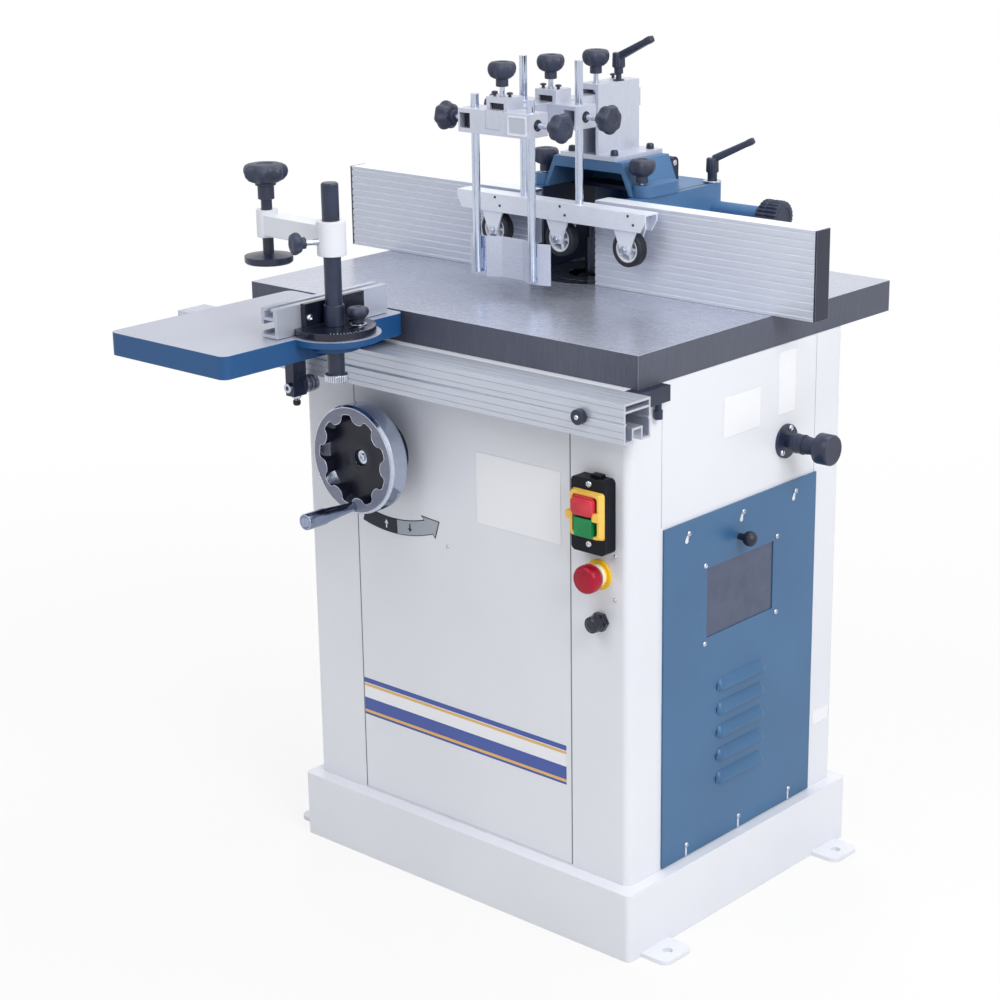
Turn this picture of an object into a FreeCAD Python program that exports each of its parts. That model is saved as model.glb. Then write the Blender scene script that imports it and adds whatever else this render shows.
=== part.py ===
import FreeCAD
import Part
import math
import os

# Spindle moulder, in millimetres. The origin is the middle of the plinth's underside,
# X runs to the operator's right, Y away from the operator and Z up.

# Fits and stock
slide_fit = 0.05
face_gap = 0.3
sheet = 3.0

# Plinth and its foot tabs
plinth_width = 650.0
plinth_depth = 530.0
plinth_height = 102.0
plinth_corner = 8.0
plinth_flange = 40.0
tab_reach = 46.0
tab_width = 62.0
tab_thick = 6.0
tab_corner = 14.0
foot_hole_out = 24.0
foot_hole_inset = 57.0
foot_hole_r = 7.0

# Cabinet, its front panel and its side cover
cabinet_inset_left = 11.0
cabinet_inset_right = 20.0
cabinet_front = -242.0
cabinet_back = 253.0
cabinet_height = 712.0
cabinet_corner = 12.0
cabinet_flange = 30.0
panel_left = -210.0
panel_right = 203.0
panel_drop = 28.0
panel_rise = 3.0
panel_seam = 0.6
panel_strip = 24.0
cover_front = -170.0
cover_back = 188.0
cover_rise = 2.0
cover_drop = 206.0
cover_lap = 16.0
window_front = -73.0
window_back = 84.0
window_rise_share = 0.6369
window_height_share = 0.2044
louvre_front = -47.5
louvre_back = 66.0
louvre_count = 5
louvre_pitch_share = 0.0714
louvre_rise_share = 0.1875
louvre_height = 9.0
cover_knob_share = 0.1012
cover_knob_r = 11.0
cover_knob_neck_r = 5.0
cover_knob_neck = 8.0

# Main table and its rings
table_overhang_left = 131.0
table_inset_right = 2.0
table_setback = 20.5
table_overhang_back = 120.5
table_height = 46.0
table_plate = 14.0
table_rim = 14.0
ring_seat_r = 92.0
ring_ledge = 6.0
ring_thick = 8.0
ring_split_r = 65.0
ring_lip = 5.0
ring_bore_r = 40.0
table_boss_wall = 14.0
table_boss_drop = 20.0

# Spindle, its quill and its bearings
spindle_x = -80.0
spindle_y = 150.0
spindle_shaft_r = 17.0
arbor_r = 15.0
arbor_length = 60.0
arbor_thread_r = 11.0
arbor_thread = 15.0
spindle_shoulder_drop = 5.0
spacer_r = 26.0
spacer_height = 20.0
spacer_count = 4
spindle_flange_r = 30.0
spindle_flange = 14.7
quill_r = 46.0
quill_length = 228.0
bearing_r = 31.0
bearing_height = 20.0
bearing_inset = 5.0

# Rise mechanism: columns, carriage, screw and bevel pair
column_spread = 125.0
column_r = 15.0
column_length = 416.0
sleeve_r = 26.0
sleeve_length = 135.0
sleeve_drop = 25.0
web_thick = 20.0
carriage_plate = 12.0
screw_x = -150.0
screw_y = 60.0
screw_r = 10.0
screw_length = 402.0
journal_r = 8.0
journal_length = 30.0
journal_room = 2.0
journal_boss_r = 22.0
nut_r = 20.0
nut_height = 45.0
nut_drop = 15.0
bevel_big_r = 26.0
bevel_small_r = 14.0

# Motor and belt
motor_x = 120.0
motor_y = -60.0
motor_r = 75.0
motor_height = 200.0
motor_shaft_r = 12.0
motor_shaft_socket = 28.0
motor_box_width = 70.0
motor_box_sink = 10.0
motor_box_depth = 40.0
motor_box_height = 80.0
motor_pulley_r = 70.0
spindle_pulley_r = 35.0
pulley_height = 25.0
pulley_drop = 5.0
belt_width = 17.0
belt_thick = 6.0
plate_margin = 10.0
shaft_room = 2.0

# Handwheel and crank
wheel_x = -150.0
wheel_drop = 161.0
wheel_r = 80.0
wheel_depth = 25.0
wheel_standoff = 41.0
rim_width = 13.0
rim_round = 5.0
rim_bevel = 4.0
rim_lip = 2.0
rim_back = 10.0
web_front = 7.0
web_back = 1.0
hub_r = 24.0
hub_face = 8.0
hub_sink = 4.0
hub_sink_r = 13.0
wheel_shaft_r = 10.0
wheel_bearing_r = 28.0
wheel_boss_r = 48.0
wheel_boss_length = 22.0
crank_offset = 69.0
crank_length = 97.0
crank_root_r = 7.0
crank_tip_r = 11.5
crank_pin_r = 4.0
crank_pin_inset = 12.0
crank_pin_sink = 3.0
crank_neck = 10.0
crank_swell = 68.0
crank_round = 6.0
crank_dome = 4.0
crank_room = 2.0

# Switch, emergency stop, cable gland and spindle lock
switch_inset = 82.0
switch_width = 59.0
switch_depth = 22.0
switch_height = 104.0
switch_drop = 224.5
switch_corner = 7.0
button_width = 30.0
button_height = 26.0
button_gap = 4.0
button_rise = 1.5
button_proud = 12.0
button_depth = 19.0
button_travel = 4.0
stop_inset = 51.3
stop_drop = 260.5
stop_plate_r = 21.5
stop_plate = 3.0
stop_plate_bevel = 1.0
stop_collar_r = 16.0
stop_collar = 8.0
stop_head_r = 20.0
stop_head = 16.0
stop_stem_r = 8.0
stop_travel = 5.0
stop_bevel = 3.0
stop_dome = 6.0
stop_crown_r = 11.0
gland_inset = 48.0
gland_drop = 327.0
gland_nut_r = 14.0
gland_nut = 8.0
gland_body_r = 11.5
gland_body = 14.0
gland_bore_r = 5.0
gland_floor = 2.0
lock_y = 112.0
lock_drop = 143.0
lock_flange_r = 25.0
lock_flange = 4.0
lock_stem_r = 9.0
lock_inside = 70.0
lock_step_r = 14.0
lock_step = 19.0
lock_step_gap = 12.0
lock_grip_r = 22.0
lock_grip = 23.0
lock_reach = 82.0
lock_neck_r = 12.5
lock_bevel = 2.0

# Slide rail, its bars and its stop
rail_overhang_left = 218.0
rail_overhang_right = 35.0
rail_depth = 54.0
rail_height = 54.0
rail_top_lift = 2.0
rail_wall = 3.0
rail_web_drop = 13.0
rail_groove = 2.0
rail_slot_width = 16.0
rail_slot_depth = 16.0
bar_width = 26.0
bar_height = 22.0
bar_length = 70.0
bar_right_inset = 13.0
bar_left_gap = 5.0
bar_bolt_r = 4.5
bar_bolt = 10.0
bar_bolt_head_r = 6.0
bar_bolt_head = 12.0
bar_bolt_inset = 18.0
bumper_x = 268.0
bumper_r = 10.3
bumper_depth = 9.0

# Sliding table and its roller block
slide_left = -353.0
slide_right = -116.0
slide_front = -568.0
slide_gap = 7.0
slide_height = 32.0
slide_plate = 12.0
slide_rim = 10.0
slide_corner = 12.0
slide_seat_front = 66.0
shoe_inset = 6.0
shoe_end_gap = 24.0
post_x = -105.0
post_y = -375.0
bulge_r = 64.0
bulge_height = 9.0
post_boss_r = 34.0
post_boss = 13.0
block_x = -248.5
block_width = 17.0
block_front_gap = 11.0
block_depth = 25.0
block_low = 26.0
roller_r = 13.0
roller_width = 21.0
axle_r = 4.0
axle_head_r = 7.0
axle_head = 5.0
set_screw_r = 4.0
set_screw = 15.0

# Mitre gauge
disc_r = 57.0
disc_thick = 9.7
disc_flat = 26.0
bracket_thick = 8.0
bracket_back = 38.0
bracket_front = 75.0
bracket_height = 33.0
mitre_slot_r = 31.8
mitre_slot_angle = 46.3
mitre_slot_sweep = 110.0
mitre_slot_width = 9.0
mitre_fence_width = 30.0
mitre_fence_back = 83.0
mitre_fence_front = 128.0
mitre_fence_height = 41.0
mitre_fence_lift = 1.0
mitre_fence_wall = 4.0
mitre_fence_mouth = 9.0
mitre_fence_pocket = 17.0
mitre_fence_slot = 9.0
mitre_knob_r = 16.0
mitre_knob_height = 16.0
mitre_knob_hub_r = 7.0
mitre_knob_hub = 6.0
mitre_screw_r = 3.5
mitre_washer = 2.0
mitre_washer_r = 9.0

# Hold-down clamp
post_r = 12.0
post_height = 206.0
post_nut_r = 15.5
post_nut = 10.5
post_nut_drop = 47.0
post_bevel = 2.0
arm_reach = 127.5
arm_lift = 107.5
arm_boss_r = 20.0
arm_boss = 47.0
arm_end_r = 15.0
arm_end = 37.5
arm_end_lift = 118.0
arm_web_end_r = 13.0
arm_web_boss_r = 17.0
arm_web_height = 28.0
arm_web_lift = 121.0
hold_screw_r = 7.75
hold_screw_length = 105.0
pad_r = 34.0
pad_thick = 14.0
pad_lift = 81.0
pad_bevel = 2.0
pad_crown = 4.0
hold_sleeve_r = 11.5
hold_sleeve = 23.0
hold_knob_r = 32.0
hold_knob_height = 26.0
hold_knob_gap = 75.0
hold_collar_r = 14.5
hold_collar = 4.0
arm_lock_angle = 248.0
arm_lock_drop = 27.0
arm_lock_r = 16.0
arm_lock_screw_r = 4.0
arm_lock_screw = 18.0
arm_lock_height = 14.0
arm_lock_hub_r = 8.0
arm_lock_hub = 6.0

# Fence base and fence plates
fence_front_gap = 75.0
fence_plate_thick = 31.5
fence_plate_height = 127.0
fence_plate_wall = 4.0
fence_left_length = 384.0
fence_right_length = 392.0
fence_left_gap = 65.0
fence_right_gap = 63.0
fence_cap = 3.0
fence_groove_count = 12
fence_groove = 2.4
fence_groove_depth = 1.5
fence_slot = 10.0
base_half_width = 109.0
base_wall = 25.0
base_height = 125.0
base_length = 223.0
base_roof_start = 95.0
base_roof = 6.0
base_back_wall = 6.0
base_corner = 14.0
spigot_r = 50.0
spigot_wall = 3.0
spigot_length = 40.0
spigot_lift = 62.0
tube_r = 12.0
tube_length = 86.0
tube_inset = 25.0
tube_lift = 87.0
adjust_knob_r = 24.0
adjust_knob_length = 55.0
adjust_knob_ribs = 16
adjust_knob_rib_r = 2.5
adjust_shaft_r = 6.0
adjust_socket = 40.0
adjust_bevel = 2.0
hinge_back_gap = 13.0
hinge_lift = 34.0
hinge_offset = 48.0
hinge_barrel = 22.0
hinge_barrel_r = 9.0
hinge_pin_r = 4.0
hinge_lug = 8.0

# Hood
hood_front_gap = 26.5
hood_length = 112.0
hood_height = 49.0
hood_half_low = 86.0
hood_half_top = 66.0
hood_wall = 6.0
hood_brow = 16.0
ear_half_out = 112.0
ear_front = 1.0
ear_back = 86.0
ear_height = 18.0
ear_corner = 14.0
hood_knob_offset = 94.0
hood_knob_y = 13.0

# Pressure tower, arm and holders
flange_half = 54.0
flange_front = 1.0
flange_back = 112.0
flange_thick = 7.0
tower_half = 19.0
tower_front = 3.0
tower_back = 99.0
tower_height = 104.0
tower_wall = 5.5
tower_roof = 8.0
tower_floor = 6.0
arm_bar_width = 26.0
arm_bar_height = 27.0
arm_bar_lift = 62.0
arm_bar_front = -76.0
arm_bar_length = 319.0
arm_head_room = 9.0
holder_length = 44.0
holder_tube_width = 26.0
holder_tube_height = 34.0
holder_tube_wall = 3.0
holder_drop = 8.5
holder_block_half = 20.0
holder_block_height = 53.0
holder_step = 10.0
holder_window = 30.0
front_holder_y = -54.5
rear_holder_y = 51.0
press_rod_r = 6.0
press_rod_spread = 53.5
front_rod_top = 19.0
front_rod_length = 260.0
rear_rod_top = 63.0
rear_rod_length = 207.0

# Roller bar, its rollers and the spring shoe
roller_bar_left = 177.0
roller_bar_right = 187.0
roller_bar_depth = 30.0
roller_bar_flange = 27.0
roller_bar_wall = 3.0
roller_bar_nip = 10.0
roller_bar_nip_height = 18.0
press_wheel_first = -108.5
press_wheel_pitch = 128.3
press_wheel_count = 3
press_wheel_r = 26.5
press_wheel_width = 17.0
press_wheel_drop = 55.0
bracket_top_width = 41.0
bracket_low_width = 13.0
bracket_sheet = 3.0
press_axle_r = 4.0
shoe_height = 60.0
shoe_sheet = 2.0
shoe_rod_overlap = 53.0
shoe_flank = 77.0
shoe_flank_y = 13.0
shoe_fold = 57.0
shoe_fold_y = 7.0
shoe_inner_fold = 42.0
shoe_valley = 20.0
shoe_valley_y = 18.0
shoe_lug_height = 30.0
shoe_lug_rise = 4.0
shoe_lug_width = 8.0

# Star knobs and clamp levers
star_r = 20.0
star_height = 23.0
star_hub_r = 8.0
star_hub = 12.0
star_screw_r = 5.0
star_screw_show = 14.0
star_lobes = 5
star_core_share = 0.74
star_lobe_share = 0.33
star_foot_share = 0.8
star_crown_share = 0.72
star_bevel_share = 0.25
side_star_r = 21.0
side_star_show = 24.0
lever_neck_r = 7.5
lever_neck = 9.0
lever_barrel_r = 10.0
lever_washer_r = 14.0
lever_washer = 3.0
lever_hub = 38.0
lever_arm = 66.0
lever_arm_root_r = 6.0
lever_arm_tip_r = 5.5
lever_rise_angle = 26.0
tower_lever_x = 11.0
tower_lever_y = 60.0
base_lever_inset = 11.0
base_lever_back = 17.0
base_lever_turn = 25.0

# Heights and places worked out from the sizes above
foot_x = plinth_width / 2 + foot_hole_out
foot_y = plinth_depth / 2 - foot_hole_inset
cabinet_left = cabinet_inset_left - plinth_width / 2
cabinet_right = plinth_width / 2 - cabinet_inset_right
cabinet_top = plinth_height + cabinet_height
table_top = cabinet_top + table_height
table_under = table_top - table_plate
table_left = cabinet_left - table_overhang_left
table_right = cabinet_right - table_inset_right
table_front = cabinet_front + table_setback
table_back = cabinet_back + table_overhang_back
table_hole_r = ring_seat_r - ring_ledge
panel_low = plinth_height + panel_rise
panel_high = cabinet_top - panel_drop
cover_low = plinth_height + cover_rise
cover_high = cabinet_top - cover_drop
cover_height = cover_high - cover_low
shoulder_z = table_top - spindle_shoulder_drop
flange_top = shoulder_z - spacer_height * spacer_count
quill_top = flange_top - spindle_flange - face_gap
quill_low = quill_top - quill_length
plate_low = quill_low - carriage_plate
pulley_top = plate_low - pulley_drop
pulley_low = pulley_top - pulley_height
wheel_z = cabinet_top - wheel_drop
wheel_back = cabinet_front - wheel_standoff
wheel_face = wheel_back - wheel_depth
bearing_face = wheel_back + face_gap
switch_left = cabinet_right - switch_inset
switch_low = cabinet_top - switch_drop
switch_face = cabinet_front - switch_depth
stop_x = cabinet_right - stop_inset
stop_z = cabinet_top - stop_drop
gland_x = cabinet_right - gland_inset
gland_z = cabinet_top - gland_drop
lock_z = cabinet_top - lock_drop
rail_left = cabinet_left - rail_overhang_left
rail_right = cabinet_right + rail_overhang_right
rail_top = cabinet_top + rail_top_lift
rail_low = rail_top - rail_height
rail_front = cabinet_front - rail_depth
slide_back = table_front - slide_gap
slide_low = table_top - slide_height
bulge_low = table_top - bulge_height
boss_low = bulge_low - post_boss
roller_z = rail_low - roller_r - face_gap
block_back = rail_front - block_front_gap
block_front = block_back - block_depth
disc_low = table_top + face_gap
disc_top = disc_low + disc_thick
bracket_x = post_x - disc_flat
post_top = table_top + post_height
arm_low = table_top + arm_lift
arm_end_low = table_top + arm_end_lift
pad_low = table_top + pad_lift
fence_low = table_top + face_gap
fence_y = spindle_y - fence_front_gap
fence_back = fence_y + fence_plate_thick
base_front = fence_back + face_gap
base_back = base_front + base_length
base_top = table_top + base_height
base_inner = base_half_width - base_wall
roof_front = base_front + base_roof_start
hood_front = base_front + hood_front_gap
hood_back = hood_front + hood_length
hood_low = base_top + face_gap
hood_top = hood_low + hood_height
hinge_y = hood_back + hinge_back_gap
hinge_z = base_top + hinge_lift
tower_low = hood_top + flange_thick
tower_top = tower_low + tower_height
arm_bar_low = tower_low + arm_bar_lift
arm_bar_top = arm_bar_low + arm_bar_height
holder_low = arm_bar_low - holder_drop
holder_tube_top = holder_low + holder_tube_height
holder_top = holder_low + holder_block_height
front_rod_high = holder_tube_top + front_rod_top
rear_rod_high = holder_tube_top + rear_rod_top
roller_bar_top = rear_rod_high - rear_rod_length
press_axle_z = roller_bar_top - press_wheel_drop

origin = FreeCAD.Vector(0, 0, 0)
along_x = FreeCAD.Vector(1, 0, 0)
along_y = FreeCAD.Vector(0, 1, 0)
along_z = FreeCAD.Vector(0, 0, 1)


def vec(x, y, z):
    return FreeCAD.Vector(x, y, z)


def around(middle, size):
    return (middle - size / 2, middle + size / 2)


def block(xs, ys, zs):
    return Part.makeBox(xs[1] - xs[0], ys[1] - ys[0], zs[1] - zs[0], vec(xs[0], ys[0], zs[0]))


def rod(base, direction, radius, length):
    return Part.makeCylinder(radius, length, base, direction)


def cone(base, direction, first_r, last_r, length):
    return Part.makeCone(first_r, last_r, length, base, direction)


def ring(base, direction, outer_r, inner_r, length):
    return rod(base, direction, outer_r, length).cut(rod(base, direction, inner_r, length))


def fused(shapes):
    return shapes[0].multiFuse(shapes[1:]).removeSplitter()


def grouped(shapes):
    return Part.makeCompound(shapes)


def prism(points, path):
    return Part.Face(Part.makePolygon(points + [points[0]])).extrude(path)


def arc(first, middle, last):
    return Part.Arc(first, middle, last).toShape()


def rounded(xs, ys, zs, radius):
    # A block whose four upright edges are rounded.
    (x0, x1), (y0, y1) = xs, ys
    low = zs[0]
    mid = radius * (1 - math.sqrt(0.5))
    edges = [
        Part.makeLine(vec(x0 + radius, y0, low), vec(x1 - radius, y0, low)),
        arc(vec(x1 - radius, y0, low), vec(x1 - mid, y0 + mid, low), vec(x1, y0 + radius, low)),
        Part.makeLine(vec(x1, y0 + radius, low), vec(x1, y1 - radius, low)),
        arc(vec(x1, y1 - radius, low), vec(x1 - mid, y1 - mid, low), vec(x1 - radius, y1, low)),
        Part.makeLine(vec(x1 - radius, y1, low), vec(x0 + radius, y1, low)),
        arc(vec(x0 + radius, y1, low), vec(x0 + mid, y1 - mid, low), vec(x0, y1 - radius, low)),
        Part.makeLine(vec(x0, y1 - radius, low), vec(x0, y0 + radius, low)),
        arc(vec(x0, y0 + radius, low), vec(x0 + mid, y0 + mid, low), vec(x0 + radius, y0, low)),
    ]
    return Part.Face(Part.Wire(edges)).extrude(vec(0, 0, zs[1] - low))


def rounded_front(xs, ys, zs, radius):
    # A block whose four edges along Y are rounded.
    wide = block((xs[0], xs[1]), ys, (zs[0] + radius, zs[1] - radius))
    tall = block((xs[0] + radius, xs[1] - radius), ys, zs)
    corners = []
    for x in (xs[0] + radius, xs[1] - radius):
        for z in (zs[0] + radius, zs[1] - radius):
            corners.append(rod(vec(x, ys[0], z), along_y, radius, ys[1] - ys[0]))
    return fused([wide, tall] + corners)


def looped(first, first_r, last, last_r, zs):
    # The outline round two circles and their outer tangents, as a belt lies, made upright.
    bearing = math.atan2(last[1] - first[1], last[0] - first[0])
    spread = math.acos((first_r - last_r) / math.hypot(last[0] - first[0], last[1] - first[1]))

    def at(centre, radius, angle):
        return vec(centre[0] + radius * math.cos(angle), centre[1] + radius * math.sin(angle), zs[0])

    start = at(first, first_r, bearing + spread)
    turn = at(first, first_r, bearing - spread)
    leave = at(last, last_r, bearing - spread)
    meet = at(last, last_r, bearing + spread)
    edges = [
        arc(start, at(first, first_r, bearing + math.pi), turn),
        Part.makeLine(turn, leave),
        arc(leave, at(last, last_r, bearing), meet),
        Part.makeLine(meet, start),
    ]
    return Part.Face(Part.Wire(edges)).extrude(vec(0, 0, zs[1] - zs[0]))


def turned(profile, base, direction):
    # A solid of revolution from points given as radius and distance along the axis.
    points = [vec(r, 0, h) for r, h in profile]
    solid = Part.Face(Part.makePolygon(points + [points[0]])).revolve(origin, along_z, 360)
    return placed(solid, base, direction)


def placed(shape, base, direction=along_z, turn=0.0):
    moved = shape.copy()
    lean = FreeCAD.Rotation(along_z, direction)
    moved.Placement = FreeCAD.Placement(base, lean.multiply(FreeCAD.Rotation(along_z, turn)))
    return moved


def star_knob(radius, height, hub_r, hub, screw_r, screw, lobes=star_lobes):
    # A star grip on a hub and a screw, standing on its screw's tip.
    lobe_r = star_lobe_share * radius
    low = screw + hub
    bevel = star_bevel_share * height
    head = [rod(vec(0, 0, low), along_z, star_core_share * radius, height)]
    for number in range(lobes):
        angle = 2 * math.pi * number / lobes
        reach = radius - lobe_r
        foot = vec(reach * math.cos(angle), reach * math.sin(angle), low)
        head.append(rod(foot, along_z, lobe_r, height))
    dome = fused([
        cone(vec(0, 0, low), along_z, star_foot_share * radius, radius, bevel),
        rod(vec(0, 0, low + bevel), along_z, radius, height - 2 * bevel),
        cone(vec(0, 0, low + height - bevel), along_z, radius, star_crown_share * radius, bevel),
    ])
    star = fused(head).common(dome)
    return fused([star, rod(vec(0, 0, screw), along_z, hub_r, hub), rod(origin, along_z, screw_r, screw)])


def clamp_lever():
    # A clamping lever standing on its washer, with its arm rising along X.
    rise = math.radians(lever_rise_angle)
    path = vec(math.cos(rise), 0, math.sin(rise))
    root = vec(0, 0, lever_washer + lever_hub - lever_arm_root_r)
    tip = root + path * lever_arm
    return fused([
        rod(origin, along_z, lever_washer_r, lever_washer),
        rod(vec(0, 0, lever_washer), along_z, lever_neck_r, lever_neck),
        rod(vec(0, 0, lever_washer + lever_neck), along_z, lever_barrel_r, lever_hub - lever_neck),
        cone(root, path, lever_arm_root_r, lever_arm_tip_r, lever_arm),
        Part.makeSphere(lever_arm_tip_r, tip),
    ])


def plinth():
    outer = rounded(around(0, plinth_width), around(0, plinth_depth), (0, plinth_height), plinth_corner)
    inner_w = plinth_width - 2 * sheet
    inner_d = plinth_depth - 2 * sheet
    hollow = rounded(around(0, inner_w), around(0, inner_d), (sheet, plinth_height - sheet),
                     plinth_corner - sheet)
    mouth = block(around(0, plinth_width - 2 * plinth_flange), around(0, plinth_depth - 2 * plinth_flange),
                  (-1, 2 * sheet))
    solids = [outer.cut(hollow).cut(mouth)]
    holes = []
    for side in (-1, 1):
        inner = side * (plinth_width / 2 - tab_corner - sheet)
        reach = side * (plinth_width / 2 + tab_reach)
        for end in (-1, 1):
            tab_y = end * foot_y
            tab_xs = sorted((inner, reach))
            solids.append(rounded(tab_xs, around(tab_y, tab_width), (0, tab_thick), tab_corner))
            holes.append(rod(vec(side * foot_x, tab_y, -1), along_z, foot_hole_r, tab_thick + 2))
    return fused(solids).cut(grouped(holes))


def cabinet():
    outer = rounded((cabinet_left, cabinet_right), (cabinet_front, cabinet_back),
                    (plinth_height, cabinet_top), cabinet_corner)
    hollow = rounded((cabinet_left + sheet, cabinet_right - sheet),
                     (cabinet_front + sheet, cabinet_back - sheet),
                     (plinth_height - 1, cabinet_top - sheet), cabinet_corner - sheet)
    mouth = block((cabinet_left + cabinet_flange, cabinet_right - cabinet_flange),
                  (cabinet_front + cabinet_flange, cabinet_back - cabinet_flange),
                  (cabinet_top - 2 * sheet, cabinet_top + 1))
    front_hole = block((panel_left, panel_right), (cabinet_front - 1, cabinet_front + 2 * sheet),
                       (panel_low, panel_high))
    side_hole = block((cabinet_right - 2 * sheet, cabinet_right + 1),
                      (cover_front + cover_lap, cover_back - cover_lap),
                      (cover_low + cover_lap, cover_high - cover_lap))
    bar_right_x = cabinet_right - bar_right_inset
    notch = block((bar_right_x - face_gap, cabinet_right + 1),
                  (cabinet_front - 1, cabinet_front + bar_length + face_gap),
                  (cabinet_top - bar_height - face_gap, cabinet_top + 1))
    lock_hole = rod(vec(cabinet_right - 2 * sheet, lock_y, lock_z), along_x, lock_stem_r + face_gap,
                    3 * sheet)
    return outer.cut(grouped([hollow, mouth])).cut(grouped([front_hole, side_hole, notch, lock_hole]))


def front_panel():
    back = cabinet_front + sheet
    plate = block((panel_left + panel_seam, panel_right - panel_seam), (cabinet_front, back),
                  (panel_low + panel_seam, panel_high - panel_seam))
    strips = []
    for seam in (panel_left, panel_right):
        strips.append(block(around(seam, panel_strip), (back, back + sheet), (panel_low, panel_high)))
    hole = rod(vec(wheel_x, cabinet_front - 1, wheel_z), along_y, wheel_shaft_r + face_gap, 3 * sheet)
    return fused([plate] + strips).cut(hole)


def side_cover():
    face = cabinet_right + sheet
    plate = block((cabinet_right, face), (cover_front, cover_back), (cover_low, cover_high))
    window_low = cover_low + window_rise_share * cover_height
    window_high = window_low + window_height_share * cover_height
    cuts = [block((cabinet_right - 1, face + 1), (window_front, window_back),
                  (window_low, window_high))]
    for number in range(louvre_count):
        middle = cover_low + (louvre_rise_share + number * louvre_pitch_share) * cover_height
        cuts.append(block((cabinet_right - 1, face + 1), (louvre_front, louvre_back),
                          around(middle, louvre_height)))
    knob_z = cover_high - cover_knob_share * cover_height
    knob_x = face + cover_knob_neck + cover_knob_r
    neck = rod(vec(face, 0, knob_z), along_x, cover_knob_neck_r, cover_knob_neck + cover_knob_r)
    knob = fused([neck, Part.makeSphere(cover_knob_r, vec(knob_x, 0, knob_z))])
    return grouped([plate.cut(grouped(cuts)), knob])


def main_table():
    slab = block((table_left, table_right), (table_front, table_back), (cabinet_top, table_top))
    pocket = block((table_left + table_rim, table_right - table_rim),
                   (table_front + table_rim, table_back - table_rim), (cabinet_top - 1, table_under))
    side_rib = block((cabinet_left + sheet, cabinet_left + sheet + table_rim),
                     (table_front + table_rim, table_back - table_rim), (cabinet_top, table_under))
    back_rib = block((table_left + table_rim, table_right - table_rim),
                     (cabinet_back - sheet - table_rim, cabinet_back - sheet), (cabinet_top, table_under))
    boss = rod(vec(spindle_x, spindle_y, table_under - table_boss_drop), along_z,
               table_hole_r + table_boss_wall, table_boss_drop)
    screw_boss = rod(vec(screw_x, screw_y, cabinet_top), along_z, journal_boss_r, table_under - cabinet_top)
    hole = rod(vec(spindle_x, spindle_y, cabinet_top - 1), along_z, table_hole_r, table_height + 2)
    seat = rod(vec(spindle_x, spindle_y, table_top - ring_thick), along_z, ring_seat_r, ring_thick + 1)
    socket = rod(vec(screw_x, screw_y, cabinet_top - 1), along_z, journal_r + slide_fit, journal_length)
    body = fused([slab.cut(pocket), side_rib, back_rib, boss, screw_boss])
    return body.cut(grouped([hole, seat])).cut(socket)


def table_rings():
    low = table_top - ring_thick
    step = ring_thick / 2
    centre = vec(spindle_x, spindle_y, low)
    rim = ring(centre, along_z, ring_seat_r - face_gap, ring_split_r, ring_thick)
    lip = ring(centre, along_z, ring_split_r + 1, ring_split_r - ring_lip, step)
    inner = ring(centre + vec(0, 0, step), along_z, ring_split_r - face_gap, ring_bore_r, ring_thick - step)
    return grouped([fused([rim, lip]), inner])


def guide_columns():
    columns = []
    for side in (-1, 1):
        foot = vec(spindle_x + side * column_spread, spindle_y, table_under - column_length)
        columns.append(rod(foot, along_z, column_r, column_length))
    return grouped(columns)


def spindle_carriage():
    # One casting: quill tube, column sleeves, webs, the belt-side plate and the rise nut.
    spindle = (spindle_x, spindle_y)
    plate_zs = (plate_low, quill_low)
    quill = rod(vec(spindle_x, spindle_y, quill_low), along_z, quill_r, quill_length)
    sleeve_top = quill_top - sleeve_drop
    solids = [
        quill,
        looped(spindle, quill_r + plate_margin, (motor_x, motor_y), motor_r + plate_margin, plate_zs),
        looped(spindle, quill_r + plate_margin, (screw_x, screw_y), nut_r + plate_margin, plate_zs),
        rod(vec(screw_x, screw_y, plate_low - nut_drop), along_z, nut_r, nut_height),
        block(around(spindle_x, 2 * column_spread), around(spindle_y, web_thick),
              (sleeve_top - sleeve_length, sleeve_top)),
    ]
    bores = [
        rod(vec(spindle_x, spindle_y, quill_low), along_z, bearing_r + slide_fit, quill_length + 1),
        rod(vec(spindle_x, spindle_y, plate_low - 1), along_z, spindle_shaft_r + shaft_room,
            carriage_plate + 2),
        rod(vec(motor_x, motor_y, plate_low - 1), along_z, motor_shaft_r + shaft_room, carriage_plate + 2),
        rod(vec(screw_x, screw_y, plate_low - nut_drop - 1), along_z, screw_r + slide_fit, nut_height + 2),
    ]
    for side in (-1, 1):
        foot = vec(spindle_x + side * column_spread, spindle_y, sleeve_top - sleeve_length)
        solids.append(rod(foot, along_z, sleeve_r, sleeve_length))
        bores.append(rod(foot - vec(0, 0, 1), along_z, column_r + slide_fit, sleeve_length + 2))
    casting = fused(solids).cut(grouped(bores))
    bearings = []
    for low in (quill_low + bearing_inset, quill_top - bearing_inset - bearing_height):
        centre = vec(spindle_x, spindle_y, low)
        bearings.append(ring(centre, along_z, bearing_r, spindle_shaft_r + slide_fit, bearing_height))
    return grouped([casting] + bearings)


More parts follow.
